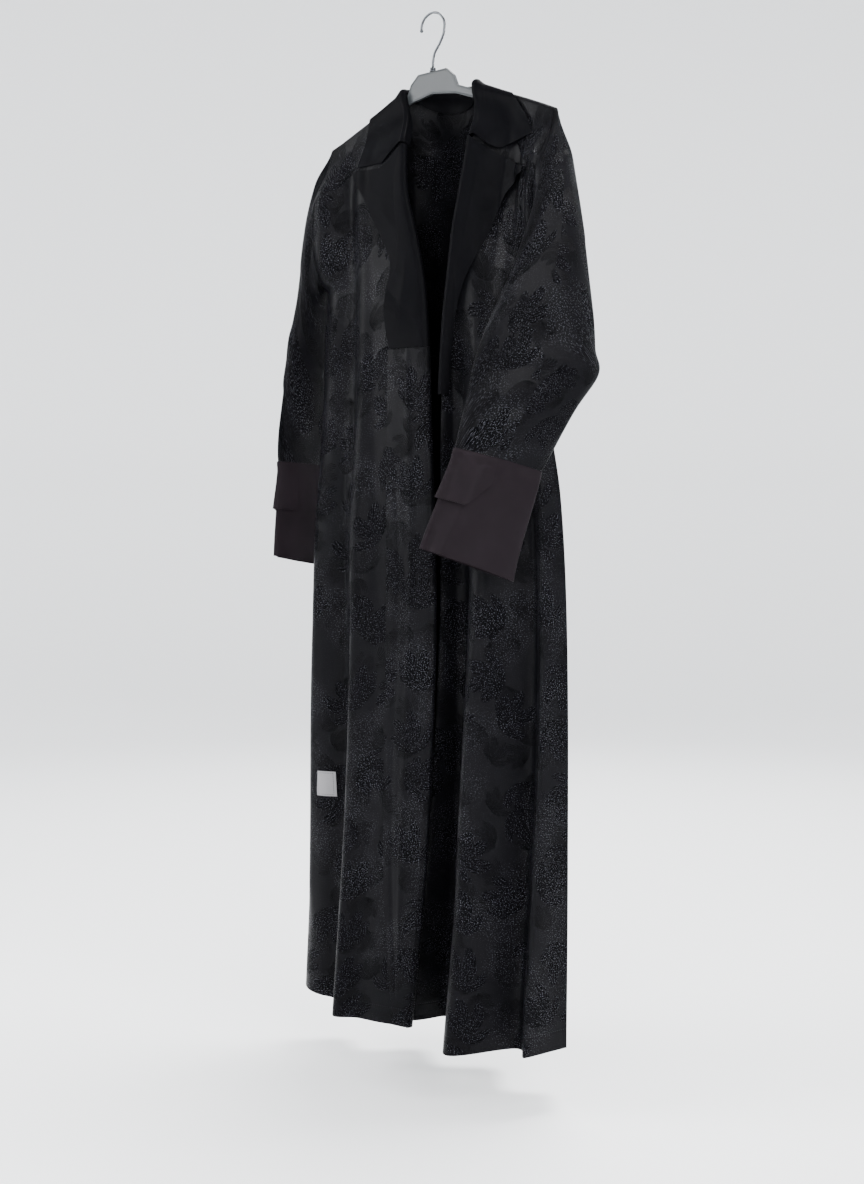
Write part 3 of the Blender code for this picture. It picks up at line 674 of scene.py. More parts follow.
def make_satin(name, colour, roughness, sheen, shine):
    material, tree, shader = new_material(
        name, Metallic=0.0, IOR=1.18, Sheen_Weight=sheen, Sheen_Roughness=0.35,
        Sheen_Tint=swatch("#a09aa0"), Anisotropic=0.35, Specular_IOR_Level=shine)
    thread = add(tree, "UVMap", {"uv_map": "thread_metres"}).outputs["UV"]
    slub = add(tree, "Mapping", Vector=thread, Scale=(900.0, 70.0, 1.0)).outputs[0]
    streak = noise(tree, slub, 1.0, 2.0)
    cloud = noise(tree, thread, 28.0, 3.0)
    darker = tuple(c * 0.72 for c in swatch(colour)[:3]) + (1.0,)
    tree.links.new(blend(tree, cloud, darker, swatch(colour)), shader.inputs["Base Color"])
    rough = math_node(tree, "MULTIPLY_ADD", math_node(tree, "SUBTRACT", streak, 0.5), 0.14,
                      roughness)
    tree.links.new(rough, shader.inputs["Roughness"])
    relief = math_node(tree, "MULTIPLY_ADD", streak, 0.00004,
                       math_node(tree, "MULTIPLY", cloud, 0.0006))
    raise_surface(tree, shader, relief)
    return material


JACQUARD = make_jacquard()
SATIN = make_satin("black_satin_facing", "#08080a", 0.36, 0.001, 0.055)
CUFF_SATIN = make_satin("dark_cuff_satin", "#171316", 0.44, 0.010, 0.12)
print("materials:", JACQUARD.name, SATIN.name, CUFF_SATIN.name)

# %% [markdown]
# ## Label weave, plastic and chrome
#
# The small patch is a plain silver-grey tape weave with a line of stitches
# round it; it stays bare. The hanger is injection-moulded polystyrene with a
# fine spark-eroded grain, and its hook is steel wire, polished and chromed.

# %% Their nodes


def make_patch_weave(width, length):
    material, tree, shader = new_material("silver_grey_tape_weave", Metallic=0.0, IOR=1.50,
                                          Sheen_Weight=0.2)
    thread = add(tree, "UVMap", {"uv_map": "thread_metres"}).outputs["UV"]
    axes = add(tree, "SeparateXYZ", Vector=thread)
    # Real threads are 0.3 mm apart; drawn at 1.2 mm, which the render can show.
    rows = [math_node(tree, "SINE", math_node(tree, "MULTIPLY", axis, 2 * math.pi / 0.0012))
            for axis in axes.outputs[:2]]
    weave = math_node(tree, "MULTIPLY", *rows)
    sides = [math_node(tree, "ABSOLUTE", math_node(tree, "SUBTRACT", axis, middle))
             for axis, middle in zip(axes.outputs[:2], (width / 2, -length / 2))]
    to_edge = math_node(tree, "MINIMUM", math_node(tree, "SUBTRACT", width / 2, sides[0]),
                        math_node(tree, "SUBTRACT", length / 2, sides[1]))
    off_line = math_node(tree, "ABSOLUTE", math_node(tree, "SUBTRACT", to_edge, 0.0026))
    line = math_node(tree, "SUBTRACT", 1.0, smooth_step(tree, off_line, 0.0002, 0.0008))
    run = math_node(tree, "ADD", axes.outputs[0], axes.outputs[1])
    dash = smooth_step(tree, math_node(
        tree, "SINE", math_node(tree, "MULTIPLY", run, 2 * math.pi / 0.0030)), -0.5, 0.1)
    stitch = math_node(tree, "MULTIPLY", line, dash)
    tone = blend(tree, math_node(tree, "MULTIPLY_ADD", weave, 0.35, 0.5), swatch("#565557"),
                 swatch("#767577"))
    sewn = blend(tree, stitch, tone, swatch("#2b2a2c"))
    tree.links.new(sewn, shader.inputs["Base Color"])
    shader.inputs["Roughness"].default_value = 0.62
    relief = math_node(tree, "MULTIPLY_ADD", weave, 0.00008, math_node(tree, "MULTIPLY", stitch,
                                                                      -0.0003))
    raise_surface(tree, shader, relief)
    return material


def make_moulded_plastic():
    material, tree, shader = new_material("grey_moulded_polystyrene", Metallic=0.0, IOR=1.40)
    place = add(tree, "TexCoord").outputs["Object"]
    grain = noise(tree, place, 900.0, 2.0, "3D")
    cloud = noise(tree, place, 22.0, 2.0, "3D")
    tree.links.new(blend(tree, cloud, swatch("#26292b"), swatch("#303335")),
                   shader.inputs["Base Color"])
    tree.links.new(math_node(tree, "MULTIPLY_ADD", grain, 0.16, 0.40), shader.inputs["Roughness"])
    raise_surface(tree, shader, math_node(tree, "MULTIPLY", grain, 0.00006), 0.6)
    return material


def make_chrome():
    material, tree, shader = new_material("chromed_steel_wire", Metallic=1.0)
    # Painted dark reflection: the base colour is much darker than real chrome, standing in for the
    # dark surroundings the wire mirrors.
    shader.inputs["Base Color"].default_value = swatch("#46484b")
    place = add(tree, "TexCoord").outputs["Object"]
    smear = noise(tree, place, 160.0, 3.0, "3D")
    tree.links.new(math_node(tree, "MULTIPLY_ADD", smear, 0.12, 0.07), shader.inputs["Roughness"])
    return material


PLASTIC = make_moulded_plastic()
CHROME = make_chrome()

# %% [markdown]
# ## The back
#
# One panel from shoulder to hem, with the neckline hollowed out of its upper
# edge. It hangs in soft organ-pipe folds that open towards the hem. Its rows
# lie closer together near the shoulder, where it rounds over the hanger.

# %% Make the back


def crowded(down):
    """Rows close together near the shoulder, then even."""
    return 0.35 * down ** 3 + 0.65 * down ** 1.35 if down < 1.0 else 1.0


def back_place(across, down):
    return back_point(across, mix(back_top(across), back_hem_z(across), crowded(down)))


back = make_cloth("cloak_back", 150, 170, back_place, JACQUARD, flip=True)
hand_over(back, "back")

# %% [markdown]
# ## The fronts
#
# Each front is narrower than the back half it meets, and its inner edge falls
# in a long curve, because the cloak isn't buttoned. The right one swings wide;
# the left one hangs closer and lower, as the hanger leans.

# %% Make the fronts


def front_place(side):
    def place(across, down):
        top = ridge_z(mix(tip_x(side), neck_x(side), across))
        return front_point(side, across, mix(top, hem_z(side, across), crowded(down)))
    return place


right_front = make_cloth("cloak_right_front", 104, 170, front_place("right"), JACQUARD)
hand_over(right_front, "right_front")
left_front = make_cloth("cloak_left_front", 110, 170, front_place("left"), JACQUARD, flip=True)
hand_over(left_front, "left_front")

# %% [markdown]
# ## The turned-out edges
#
# Lapels are the front edges rolled outwards. The roll is soft, a few
# millimetres in radius, and the cloth then lies on the front beneath it. On
# the right side the whole edge stays turned out down to the hem: satin as far
# as the lapel reaches, the cloak's own cloth below. Each row of points goes
# round the roll first and then out to the free edge, which the tables give.

# %% Measures of the turned-out edges
# Each row: height of the roll, then x and height of the free edge.
LAPELS = {
    "right": (
        (-0.2065, -0.1310, -0.2350),
        (-0.2900, -0.0808, -0.3160),
        (-0.3700, -0.0430, -0.3880),
        (-0.4500, -0.0568, -0.4570),
        (-0.5180, -0.0467, -0.5180),
    ),
    "left": (
        (-0.2100, 0.2066, -0.2664),
        (-0.2550, 0.1710, -0.2880),
        (-0.2950, 0.1528, -0.3080),
        (-0.3700, 0.1163, -0.3850),
        (-0.4350, 0.0900, -0.4400),
        (-0.5000, 0.0740, -0.5010),
        (-0.5900, 0.0615, -0.5900),
    ),
}
TURNBACK = (
    (-0.5190, -0.0467, -0.5190),
    (-0.6500, -0.0487, -0.6500),
    (-0.9000, -0.0487, -0.9000),
    (-1.2500, -0.0600, -1.2500),
    (-1.5670, -0.0726, -1.5670),
)
ROLL_RADIUS = 0.0054
FREE_LIFT = 0.0034
TURNBACK_LIFT = 0.0058
LIFT_FADE = 0.030
BEND_SHARE = 0.25
# Soft ridges across a turned edge: roll height and share across, start to end.
TURN_CREASES = {
    "right": (
        ((-0.38, 0.55), (-0.42, 0.60), (-0.46, 0.66), (-0.50, 0.70), 0.090, 0.0010),
        ((-0.22, 0.80), (-0.26, 0.74), (-0.30, 0.70), (-0.34, 0.66), 0.120, -0.0006),
    ),
    "left": (
        ((-0.21, 0.44), (-0.27, 0.46), (-0.34, 0.52), (-0.40, 0.60), 0.080, 0.0010),
        ((-0.22, 0.78), (-0.25, 0.72), (-0.28, 0.66), (-0.31, 0.60), 0.090, -0.0008),
    ),
    "turnback": (
        ((-0.52, 0.60), (-0.80, 0.57), (-1.10, 0.62), (-1.50, 0.66), 0.060, 0.0022),
        ((-0.70, 0.82), (-0.90, 0.80), (-1.20, 0.84), (-1.54, 0.80), 0.050, -0.0014),
    ),
}

# The right lapel folds over a pressed line: roll height, share of the width.
# Inside the line the cloth stands off the front; outside, it drops onto it.
PRESSED_LINE = ((-0.200, 0.00), (-0.250, 0.16), (-0.313, 0.33), (-0.376, 0.73), (-0.405, 1.00),
                (-0.440, 0.60), (-0.480, 0.20), (-0.520, 0.00))
PRESSED_FADE = 0.030
# Where lapel and collar part: share across, and how far the edge dips there.
NOTCH_SHARE = 0.40
LAPEL_DIP = {"right": 0.0195, "left": 0.0060}
COLLAR_DIP = (0.0230, 0.0190)

# %% Surface of a turned-out edge


def notch_dip(share, depth):
    """A corner in an edge: full depth at the notch, none at either end."""
    rise = share / NOTCH_SHARE if share < NOTCH_SHARE else (1 - share) / (1 - NOTCH_SHARE)
    return depth * max(rise, 0.0)


def turn_push(creases, across, roll_z):
    total = 0.0
    for *points, width, push in TURN_CREASES[creases]:
        fade = ease((points[0][0] - roll_z + 0.02) / 0.05) * ease((roll_z - points[-1][0]) / 0.05)
        if fade > 0.0:
            total += push * fade * bump(across - read(points, roll_z, 1), width)
    return total


def turned_point(side, rows, across, roll_z, creases, curl=0.0):
    """A point of the cloth turned out over a front, round its open edge."""
    free_x = read(rows, roll_z, 1)
    free_z = read(rows, roll_z, 2)
    edge = outline(side, roll_z)[2]
    away = math.copysign(1.0, edge - tip_x(side))
    if across < BEND_SHARE:
        angle = math.pi * across / BEND_SHARE
        inner = edge - away * 0.003
        surface = front_at(side, inner, roll_z)
        normal = over_front(side, inner, roll_z, 1.0) - surface
        fold = front_at(side, edge, roll_z)
        tangent = (fold - surface).normalized()
        return (fold + tangent * (0.0003 + ROLL_RADIUS * math.sin(angle))
                + normal * (ROLL_RADIUS * (1 - math.cos(angle)) - CLOTH))
    share = (across - BEND_SHARE) / (1 - BEND_SHARE)
    x = mix(edge, free_x, share)
    z = mix(roll_z, free_z, share)
    if side == creases:
        z -= notch_dip(share, LAPEL_DIP[side]) * ease((roll_z - rows[0][0] + 0.09) / 0.09)
    start_lift = 2 * ROLL_RADIUS - CLOTH
    rest = TURNBACK_LIFT if creases == "turnback" else FREE_LIFT
    if creases == "right":
        beyond = share - min(max(read(PRESSED_LINE, roll_z, 1), 0.0), 1.0)
        fade = math.exp(-max(beyond, 0.0) * abs(free_x - edge) / PRESSED_FADE)
    else:
        fade = math.exp(-abs(x - edge) / LIFT_FADE)
    lift = rest + (start_lift - rest) * fade
    lift += turn_push(creases, across, roll_z) * min(1.0, share * 10)
    tip = math.hypot((1.0 - share) * abs(free_x - edge), roll_z - rows[0][0])
    lift += curl * bump(tip, 0.022)
    return over_front(side, x, z, max(lift, 0.0016))


# %% Make the lapels and the turned-out edge
GORGE_SHARE = 0.090 / 1.450
LAPEL_END = {
    "right": mix(ridge_z(neck_x("right")), HEM_Z, 0.400 / 1.450),
    "left": LAPELS["left"][-1][0],
}


def lapel_place(side, curl):
    start = mix(ridge_z(neck_x(side)), HEM_Z, GORGE_SHARE)

    def place(across, down):
        roll_z = mix(start, LAPEL_END[side], down)
        return turned_point(side, LAPELS[side], across, roll_z, side, curl)
    return place


right_lapel = make_cloth("lapel_right", 44, 90, lapel_place("right", 0.003), SATIN, flip=True,
                         hem_at="none")
hand_over(right_lapel, "right_lapel")
left_lapel = make_cloth("lapel_left", 44, 100, lapel_place("left", 0.004), SATIN,
                        hem_at="none")
hand_over(left_lapel, "left_lapel")


def turnback_place(across, down):
    roll_z = mix(LAPEL_END["right"] - 0.0004, HEM_Z, down)
    return turned_point("right", TURNBACK, across, roll_z, "turnback")


right_turnback = make_cloth("right_edge_turned_out", 40, 150, turnback_place, JACQUARD, flip=True)
hand_over(right_turnback, "right_turnback")

# %% [markdown]
# ## The collar
#
# The collar is satin too. It stands a little at the back of the neck, rolls
# over and lies on the shoulders, and its leaf narrows towards the notch above
# each lapel. One strip of cloth runs from notch to notch; at every step along
# it a few stations describe the section: up the stand, over, and out to the
# edge of the leaf. A smooth reading between the stations rounds the roll.

# %% Measures of the collar
# Each row: where the roll lies (below 0 metres down the right front, 0 to 1 a
# share of the back neck, above 1 down the left), leaf edge x and drop, stand.
COLLAR = (
    (-0.0870, -0.1200, -0.0830, 0.009),
    (-0.0580, -0.1200, -0.0480, 0.008),
    (-0.0300, -0.1215, -0.0200, 0.008),
    (-0.0070, -0.1200, -0.0050, 0.008),
    (0.0000, -0.1190, 0.0000, 0.008),
    (0.0300, -0.1150, 0.0080, 0.009),
    (0.1400, -0.0900, 0.0400, 0.018),
    (0.3200, -0.0400, 0.0700, 0.029),
    (0.5000, 0.0140, 0.0820, 0.032),
    (0.6800, 0.0720, 0.0700, 0.029),
    (0.8600, 0.1220, 0.0400, 0.018),
    (0.9700, 0.1440, 0.0080, 0.009),
    (1.0000, 0.1480, 0.0000, 0.008),
    (1.0070, 0.1560, -0.0050, 0.008),
    (1.0280, 0.1740, -0.0160, 0.008),
    (1.0560, 0.1900, -0.0330, 0.008),
    (1.0870, 0.2015, -0.0500, 0.009),
)
STATIONS = 10
COLLAR_LIFT = 0.0035
COLLAR_KEYED = tuple((index,) + row for index, row in enumerate(COLLAR))

# %% Surface of the collar


def neck_edge(neck):
    """Where the collar's roll lies: x, and drop from the ridge."""
    low, high = neck_x("right"), neck_x("left")
    if 0.0 <= neck <= 1.0:
        return mix(low, high, neck), NECK_DIP * math.sin(math.pi * neck) ** 0.7
    side = "right" if neck < 0.0 else "left"
    z = ridge_z(neck_x(side)) - (-neck if neck < 0.0 else neck - 1.0)
    x = outline(side, z)[2]
    return x, z - level_at(x)


def collar_section(along):
    """The stations across the collar at one step along it, as table rows."""
    place = along * (len(COLLAR) - 1)
    neck, leaf_x, leaf_drop, stand = (read(COLLAR_KEYED, place, column) for column in range(1, 5))
    roll_x, roll_drop = neck_edge(neck)
    roll = over_ridge(roll_x, roll_drop, 0.0)
    up = (over_ridge(roll_x, roll_drop, 0.01) - roll).normalized()
    near_x, near_drop = mix(roll_x, leaf_x, 0.1), mix(roll_drop, leaf_drop, 0.1)
    inward = roll - over_ridge(near_x, near_drop, 0.0)
    inward = (inward - up * inward.dot(up)).normalized()
    turn = ease(max(roll_drop, 0.0) / NECK_DIP) * math.pi / 2
    away = inward * math.cos(turn) - up * math.sin(turn)
    rise = inward * math.sin(turn) + up * math.cos(turn)
    # Behind the neck the stand is upright, whatever the back's folds do below it.
    upright = ease((min(neck, 1.0 - neck) - 0.04) / 0.12)
    away = away.lerp(Vector((0.0, -1.0, 0.0)), upright)
    rise = rise.lerp(Vector((0.0, 0.0, 1.0)), upright)
    skirt = -0.001 - 0.007 * ease((abs(roll.y) - 0.006) / 0.010)
    section = [roll + away * out + rise * high for out, high in
               ((0.0034, skirt), (0.0040, 0.35 * stand), (0.0024, 0.8 * stand),
                (-0.0024, stand), (-0.0075, 0.86 * stand))]
    first = len(section) - 1
    reach = ease((max(-neck, neck - 1.0) - 0.030) / 0.055)
    for station in range(first + 1, STATIONS + 1):
        share = mix(0.12, 1.0, (station - first) / (STATIONS - first))
        lift = COLLAR_LIFT + max(stand * 0.86 - COLLAR_LIFT, 0.0) * (1 - share) ** 2
        lift += 0.0010 * math.sin(9.0 * along + 2.0 * share) * share * (1.0 - share)
        drop = mix(roll_drop, leaf_drop, share)
        drop -= notch_dip(share, COLLAR_DIP[0 if neck < 0.5 else 1]) * reach
        section.append(over_ridge(mix(roll_x, leaf_x, share), drop, lift))
    return tuple((index, *point) for index, point in enumerate(section))


sections = {}


def collar_place(across, along):
    key = round(along, 6)
    if key not in sections:
        sections[key] = collar_section(along)
    return Vector([read(sections[key], across * STATIONS, column) for column in (1, 2, 3)])


collar = make_cloth("collar_leaf_and_stand", 44, 128, collar_place, SATIN, hem_at="none")
hand_over(collar, "collar")

# %% [markdown]
# ## The sleeves
#
# The sleeves are wide tubes that hang empty, so they fall almost flat. Each is
# a run of oval rings from the armhole to the wrist: a centre, the way to the
# outer line and the way to the front fold. The near sleeve swings forward and
# breaks at the elbow, and from that corner drag lines run across it.

# %% Measures of the sleeves
# Each row: centre x y z, vector to the outer line, vector to the front fold.
SLEEVES = {
    "left": (
        (0.2350, -0.0190, -0.3400, 0.0140, 0.0090, 0.0880, -0.0100, -0.0390, 0.000),
        (0.2430, -0.0380, -0.4120, 0.0240, -0.0040, 0.0500, -0.0270, -0.0520, -0.002),
        (0.2410, -0.0520, -0.4800, 0.0220, -0.0120, 0.0260, -0.0420, -0.0650, 0.000),
        (0.2385, -0.0590, -0.5309, 0.0190, -0.0130, 0.0120, -0.0500, -0.0740, 0.001),
        (0.2380, -0.0665, -0.5761, 0.0180, -0.0125, 0.0060, -0.0570, -0.0800, -0.008),
        (0.2220, -0.0867, -0.6275, 0.0170, -0.0120, 0.0000, -0.0480, -0.0693, -0.003),
        (0.2033, -0.1076, -0.6928, 0.0140, -0.0095, 0.0000, -0.0371, -0.0544, 0.017),
    ),
    "right": (
        (-0.2290, 0.0030, -0.3400, -0.0030, 0.0000, 0.0880, 0.0010, -0.0420, 0.000),
        (-0.2440, 0.0080, -0.4120, -0.0120, 0.0000, 0.0500, 0.0010, -0.0460, 0.000),
        (-0.2570, 0.0160, -0.4880, -0.0170, 0.0000, 0.0260, 0.0000, -0.0560, 0.000),
        (-0.2700, 0.0240, -0.5600, -0.0170, 0.0000, 0.0120, 0.0000, -0.0700, -0.004),
        (-0.2800, 0.0290, -0.6250, -0.0160, 0.0000, 0.0000, 0.0000, -0.0720, -0.002),
        (-0.2920, 0.0310, -0.6900, -0.0150, 0.0000, 0.0000, 0.0000, -0.0650, 0.004),
    ),
}
CUFF_ENDS = {
    "left": (0.1724, -0.1414, -0.8432, 0.0125, -0.0090, 0.0000, -0.0422, -0.0552, 0.0247),
    "right": (-0.3040, 0.0350, -0.8500, -0.0150, 0.0000, 0.0000, 0.0000, -0.0680, 0.010),
}
SLEEVE_LENGTH = 0.55
SLEEVE_GIRTH = 0.30
# Drag lines: share down and degrees round, start and end, half width, push.
DRAG_LINES = {
    "left": (
        (0.700, -40, 0.560, 34, 0.0110, 0.0026),
        (0.730, -30, 0.660, 46, 0.0120, -0.0024),
        (0.760, -30, 0.800, 56, 0.0120, 0.0026),
        (0.820, -40, 0.960, 24, 0.0120, 0.0022),
        (0.030, -30, 0.260, -52, 0.0080, 0.0030),
        (0.030, -4, 0.280, 6, 0.0085, -0.0026),
        (0.020, 24, 0.300, 36, 0.0090, 0.0026),
        (0.320, 20, 0.540, 62, 0.0130, -0.0022),
        (0.400, -20, 0.600, -40, 0.0130, 0.0020),
        (0.880, 10, 0.990, 2, 0.0090, 0.0022),
        (0.870, 48, 0.990, 56, 0.0090, -0.0020),
    ),
    "right": (
        (0.030, 30, 0.300, 60, 0.0100, 0.0024),
        (0.320, 80, 0.560, 20, 0.0110, -0.0022),
        (0.520, 70, 0.700, 10, 0.0110, 0.0026),
        (0.700, 80, 0.900, 30, 0.0110, -0.0022),
        (0.840, -30, 0.990, -10, 0.0100, 0.0020),
    ),
}

# %% Surface of a sleeve


def ring_point(row, angle):
    centre, over, front = Vector(row[0:3]), Vector(row[3:6]), Vector(row[6:9])
    return centre + over * math.cos(angle) + front * math.sin(angle)


def ring_outward(row, angle):
    over, front = Vector(row[3:6]), Vector(row[6:9])
    return (over / over.length_squared * math.cos(angle)
            + front / front.length_squared * math.sin(angle)).normalized()


def drag_push(side, down, angle):
    """The sum of a sleeve's drag lines, measured in metres on the cloth."""
    degrees = (math.degrees(angle) + 180) % 360 - 180
    here = np.array([down * SLEEVE_LENGTH, degrees / 360 * SLEEVE_GIRTH])
    total = 0.0
    for d0, a0, d1, a1, width, push in DRAG_LINES[side]:
        start = np.array([d0 * SLEEVE_LENGTH, a0 / 360 * SLEEVE_GIRTH])
        run = np.array([d1 * SLEEVE_LENGTH, a1 / 360 * SLEEVE_GIRTH]) - start
        share = min(max(float((here - start) @ run / (run @ run)), 0.0), 1.0)
        off = float(np.linalg.norm(here - start - run * share))
        total += push * bump(off, width * (1.5 - 0.5 * share)) * (1.15 - 0.5 * share)
    slow = math.sin(5 * angle + 9 * down) + math.sin(3 * angle - 17 * down + 1.0)
    return total + 0.0008 * slow


def sleeve_place(side):
    top, low = ridge_z(tip_x(side)), underarm_z(side)
    under_x = outline(side, low)[0]
    armhole = ((tip_x(side) + under_x) / 2, 0.0, (top + low) / 2,
               (tip_x(side) - under_x) / 2, 0.0, (top - low) / 2,
               0.0, -ARMHOLE_DEPTH - SEAM, 0.0)
    rows = (armhole,) + SLEEVES[side]
    keyed = tuple((index,) + row for index, row in enumerate(rows))

    def place(across, down):
        angle = 2 * math.pi * across
        row = [read(keyed, down * (len(rows) - 1), column) for column in range(1, 10)]
        point = ring_point(row, angle)
        joined = ease(down / 0.10)
        if joined < 1.0:
            z = ring_point(armhole, angle).z
            edge = front_point(side, 0.0, z)
            if angle > math.pi:
                edge.y = -edge.y
            edge.x += math.copysign(0.0003, edge.x)
            point = point + (edge - ring_point(armhole, angle)) * (1.0 - joined)
        push = drag_push(side, down, angle) * joined * ease((1.0 - down) / 0.02)
        return point + ring_outward(row, angle) * push
    return place


for side in ("left", "right"):
    sleeve = make_cloth(f"sleeve_{side}", 96, 130, sleeve_place(side), JACQUARD,
                        close_around=True, flip=(side == "left"), hem_at="none")
    hand_over(sleeve, f"{side}_sleeve")

# %% [markdown]
# ## The cuffs and their tabs
#
# Each cuff is a band of the warmer satin, 150 mm deep, sewn on below a short
# overlapping end: a tab with a cut corner, folded round the front. The tab
# lies a couple of millimetres proud and its lower corner lifts a little.

# %% Make the cuffs and tabs
TAB_REACH = (6.0, 150.0)
TAB_LENGTH = 0.50
TAB_SHORT_SIDE = 0.25
TAB_CUT = 0.16
TAB_LIFT = (0.0016, 0.0058)


def cuff_row(side, share):
    start, end = SLEEVES[side][-1], CUFF_ENDS[side]
    return [mix(a, b, share) for a, b in zip(start, end)]


def cuff_place(side):
    def place(across, down):
        angle = 2 * math.pi * across
        row = cuff_row(side, mix(0.002, 1.0, down))
        ripple = math.sin(2 * angle + 3.0 * down) + math.sin(3 * angle - 5.0 * down + 0.7)
        crease = bump(across - mix(0.055, 0.115, down), 0.030) - bump(across - 0.175, 0.035)
        push = (0.0014 * ripple + 0.0046 * crease) * ease(down / 0.12)
        return ring_point(row, angle) + ring_outward(row, angle) * push
    return place


def tab_place(side):
    def place(across, down):
        angle = math.radians(mix(*TAB_REACH, across))
        length = mix(TAB_SHORT_SIDE, TAB_LENGTH, min(across / TAB_CUT, 1.0))
        row = cuff_row(side, down * length + 0.004)
        turn = 2 * math.pi
        base = cuff_place(side)(angle / turn, down * length + 0.002)
        lift = mix(*TAB_LIFT, down) + 0.004 * bump(across - TAB_CUT, 0.16) * down ** 2
        return base + ring_outward(row, angle) * lift
    return place


for side in ("left", "right"):
    tab = make_cloth(f"cuff_tab_{side}", 48, 30, tab_place(side), CUFF_SATIN,
                     flip=(side == "left"), hem_at="none")
    hand_over(tab, f"{side}_cuff_tab")
    cuff = make_cloth(f"cuff_{side}", 80, 36, cuff_place(side), CUFF_SATIN, close_around=True,
                      flip=(side == "left"), hem_at="none")
    hand_over(cuff, f"{side}_cuff")

# %% [markdown]
# ## The patch near the hem
#
# A small woven patch is sewn beside the right side seam. It follows the fold
# that it lies on, so it is placed by the same surface as the front.

# %% Make the patch
PATCH_PLACE = (-0.2120, -1.206)
PATCH_SIZE = (0.034, 0.040)


def patch_place(across, down):
    x = PATCH_PLACE[0] + (across - 0.5) * PATCH_SIZE[0]
    z = PATCH_PLACE[1] - (down - 0.5) * PATCH_SIZE[1]
    return over_front("right", x, z, 0.0011)


patch = make_cloth("woven_patch", 16, 16, patch_place, make_patch_weave(*PATCH_SIZE),
                   thickness=0.0008, hem_at="none")
hand_over(patch, "label_patch")

# %% [markdown]
# ## The hanger
#
# The hanger is a flat moulding with a thin raised rim. Its outline starts as a
# loop of vertices; extruding gives the plate, and insetting its two faces and
# pushing them in leaves the rim. A bevel softens the moulded edges.

# %% Make the hanger's plate
PLATE_TOP = -0.0890
PLATE_HALF_THICKNESS = 0.0030
PLATE_BELOW_RIDGE = 0.0068
RIM_WIDTH = 0.0030
RIM_HEIGHT = 0.0011
PLATE_HALF = (
    (0.0000, PLATE_TOP),
    (0.0275, PLATE_TOP),
    (0.0420, -0.1020),
    (0.0490, RIDGE_Z - RIDGE_SLOPE * 0.0490 - PLATE_BELOW_RIDGE),
    (0.1850, RIDGE_Z - RIDGE_SLOPE * 0.1850 - PLATE_BELOW_RIDGE),
    (0.1920, -0.1800),
    (0.1920, -0.1860),
    (0.1850, -0.1905),
    (0.1300, -0.1690),
    (0.0800, -0.1450),
    (0.0450, -0.1310),
    (0.0000, -0.1235),
)
outline_points = list(PLATE_HALF) + [(-x, z) for x, z in reversed(PLATE_HALF) if x > 0]
bm = bmesh.new()
corners = [bm.verts.new((x, PLATE_HALF_THICKNESS, z + HANGER_TILT * x))
           for x, z in outline_points]
plate_face = bm.faces.new(corners)
solid = bmesh.ops.extrude_face_region(bm, geom=[plate_face])
moved = [item for item in solid["geom"] if isinstance(item, bmesh.types.BMVert)]
bmesh.ops.translate(bm, verts=moved, vec=(0.0, -2 * PLATE_HALF_THICKNESS, 0.0))
bmesh.ops.recalc_face_normals(bm, faces=bm.faces)
broad = [face for face in bm.faces if abs(face.normal.y) > 0.9]
bmesh.ops.inset_region(bm, faces=broad, thickness=RIM_WIDTH, depth=0.0, use_even_offset=True)
for face in [face for face in bm.faces if abs(face.normal.y) > 0.9 and len(face.verts) > 4]:
    bmesh.ops.translate(bm, verts=face.verts,
                        vec=(0.0, -math.copysign(RIM_HEIGHT, face.normal.y), 0.0))
plate = put_in_scene("hanger_plate", finish_mesh(bm, "hanger_plate", PLASTIC))
soft = plate.modifiers.new("Soft edges", "BEVEL")
soft.width = 0.0007
soft.segments = 2
soft.limit_method = "ANGLE"
claim(plate, "hanger_body")
print("hanger plate:", len(plate.data.polygons), "faces before the bevel")

# %% [markdown]
# ## Hook and socket
#
# The hook is wire bent round a former: a round crook, then an easy curve back
# to the middle. A curve with a round bevel is bent wire, and a small ball
# finishes its open end. The socket is turned on a lathe, so its outline is
# spun round the axis.

# %% Make the hook
HOOK_WIRE = 0.0020
HOOK_ARC = 0.0225
HOOK_END = 186.0
HOOK_START = -14.0
HOOK_BALL = 0.0029
SHANK = ((0.0205, -0.034), (0.0130, -0.048), (0.0040, -0.060), (0.0005, -0.072), (0.0, -0.0827))
crook = [math.radians(mix(HOOK_END, HOOK_START, step / 24)) for step in range(25)]
wire_points = [(HOOK_ARC * math.cos(a), HOOK_WIRE - HOOK_ARC + HOOK_ARC * math.sin(a))
               for a in crook] + list(SHANK)
wire_path = [(index, *point) for index, point in enumerate(wire_points)]
fine = [(read(wire_path, k / 3, 1), read(wire_path, k / 3, 2))
        for k in range(3 * (len(wire_path) - 1) + 1)]
curve = bpy.data.curves.new("hook_wire", "CURVE")
curve.dimensions = "3D"
curve.bevel_depth = HOOK_WIRE
curve.bevel_resolution = 6
curve.use_fill_caps = True
spline = curve.splines.new("POLY")
spline.points.add(len(fine) - 1)
for point, (x, z) in zip(spline.points, fine):
    point.co = (x, 0.0, z, 1.0)
bent = bpy.data.objects.new("hook_wire", curve)
wire_mesh = bpy.data.meshes.new_from_object(bent)
bm = bmesh.new()
bm.from_mesh(wire_mesh)
bmesh.ops.remove_doubles(bm, verts=bm.verts, dist=1e-6)
ball = bmesh.ops.create_uvsphere(bm, u_segments=20, v_segments=12, radius=HOOK_BALL)
bmesh.ops.translate(bm, verts=ball["verts"], vec=(fine[0][0], 0.0, fine[0][1]))
bm.to_mesh(wire_mesh)
bm.free()
wire_mesh.shade_smooth()
wire_mesh.materials.clear()
wire_mesh.materials.append(CHROME)
hook = put_in_scene("hanger_hook_wire", wire_mesh)
claim(hook, "hanger_hook")
print("hook:", len(fine), "points along the wire")

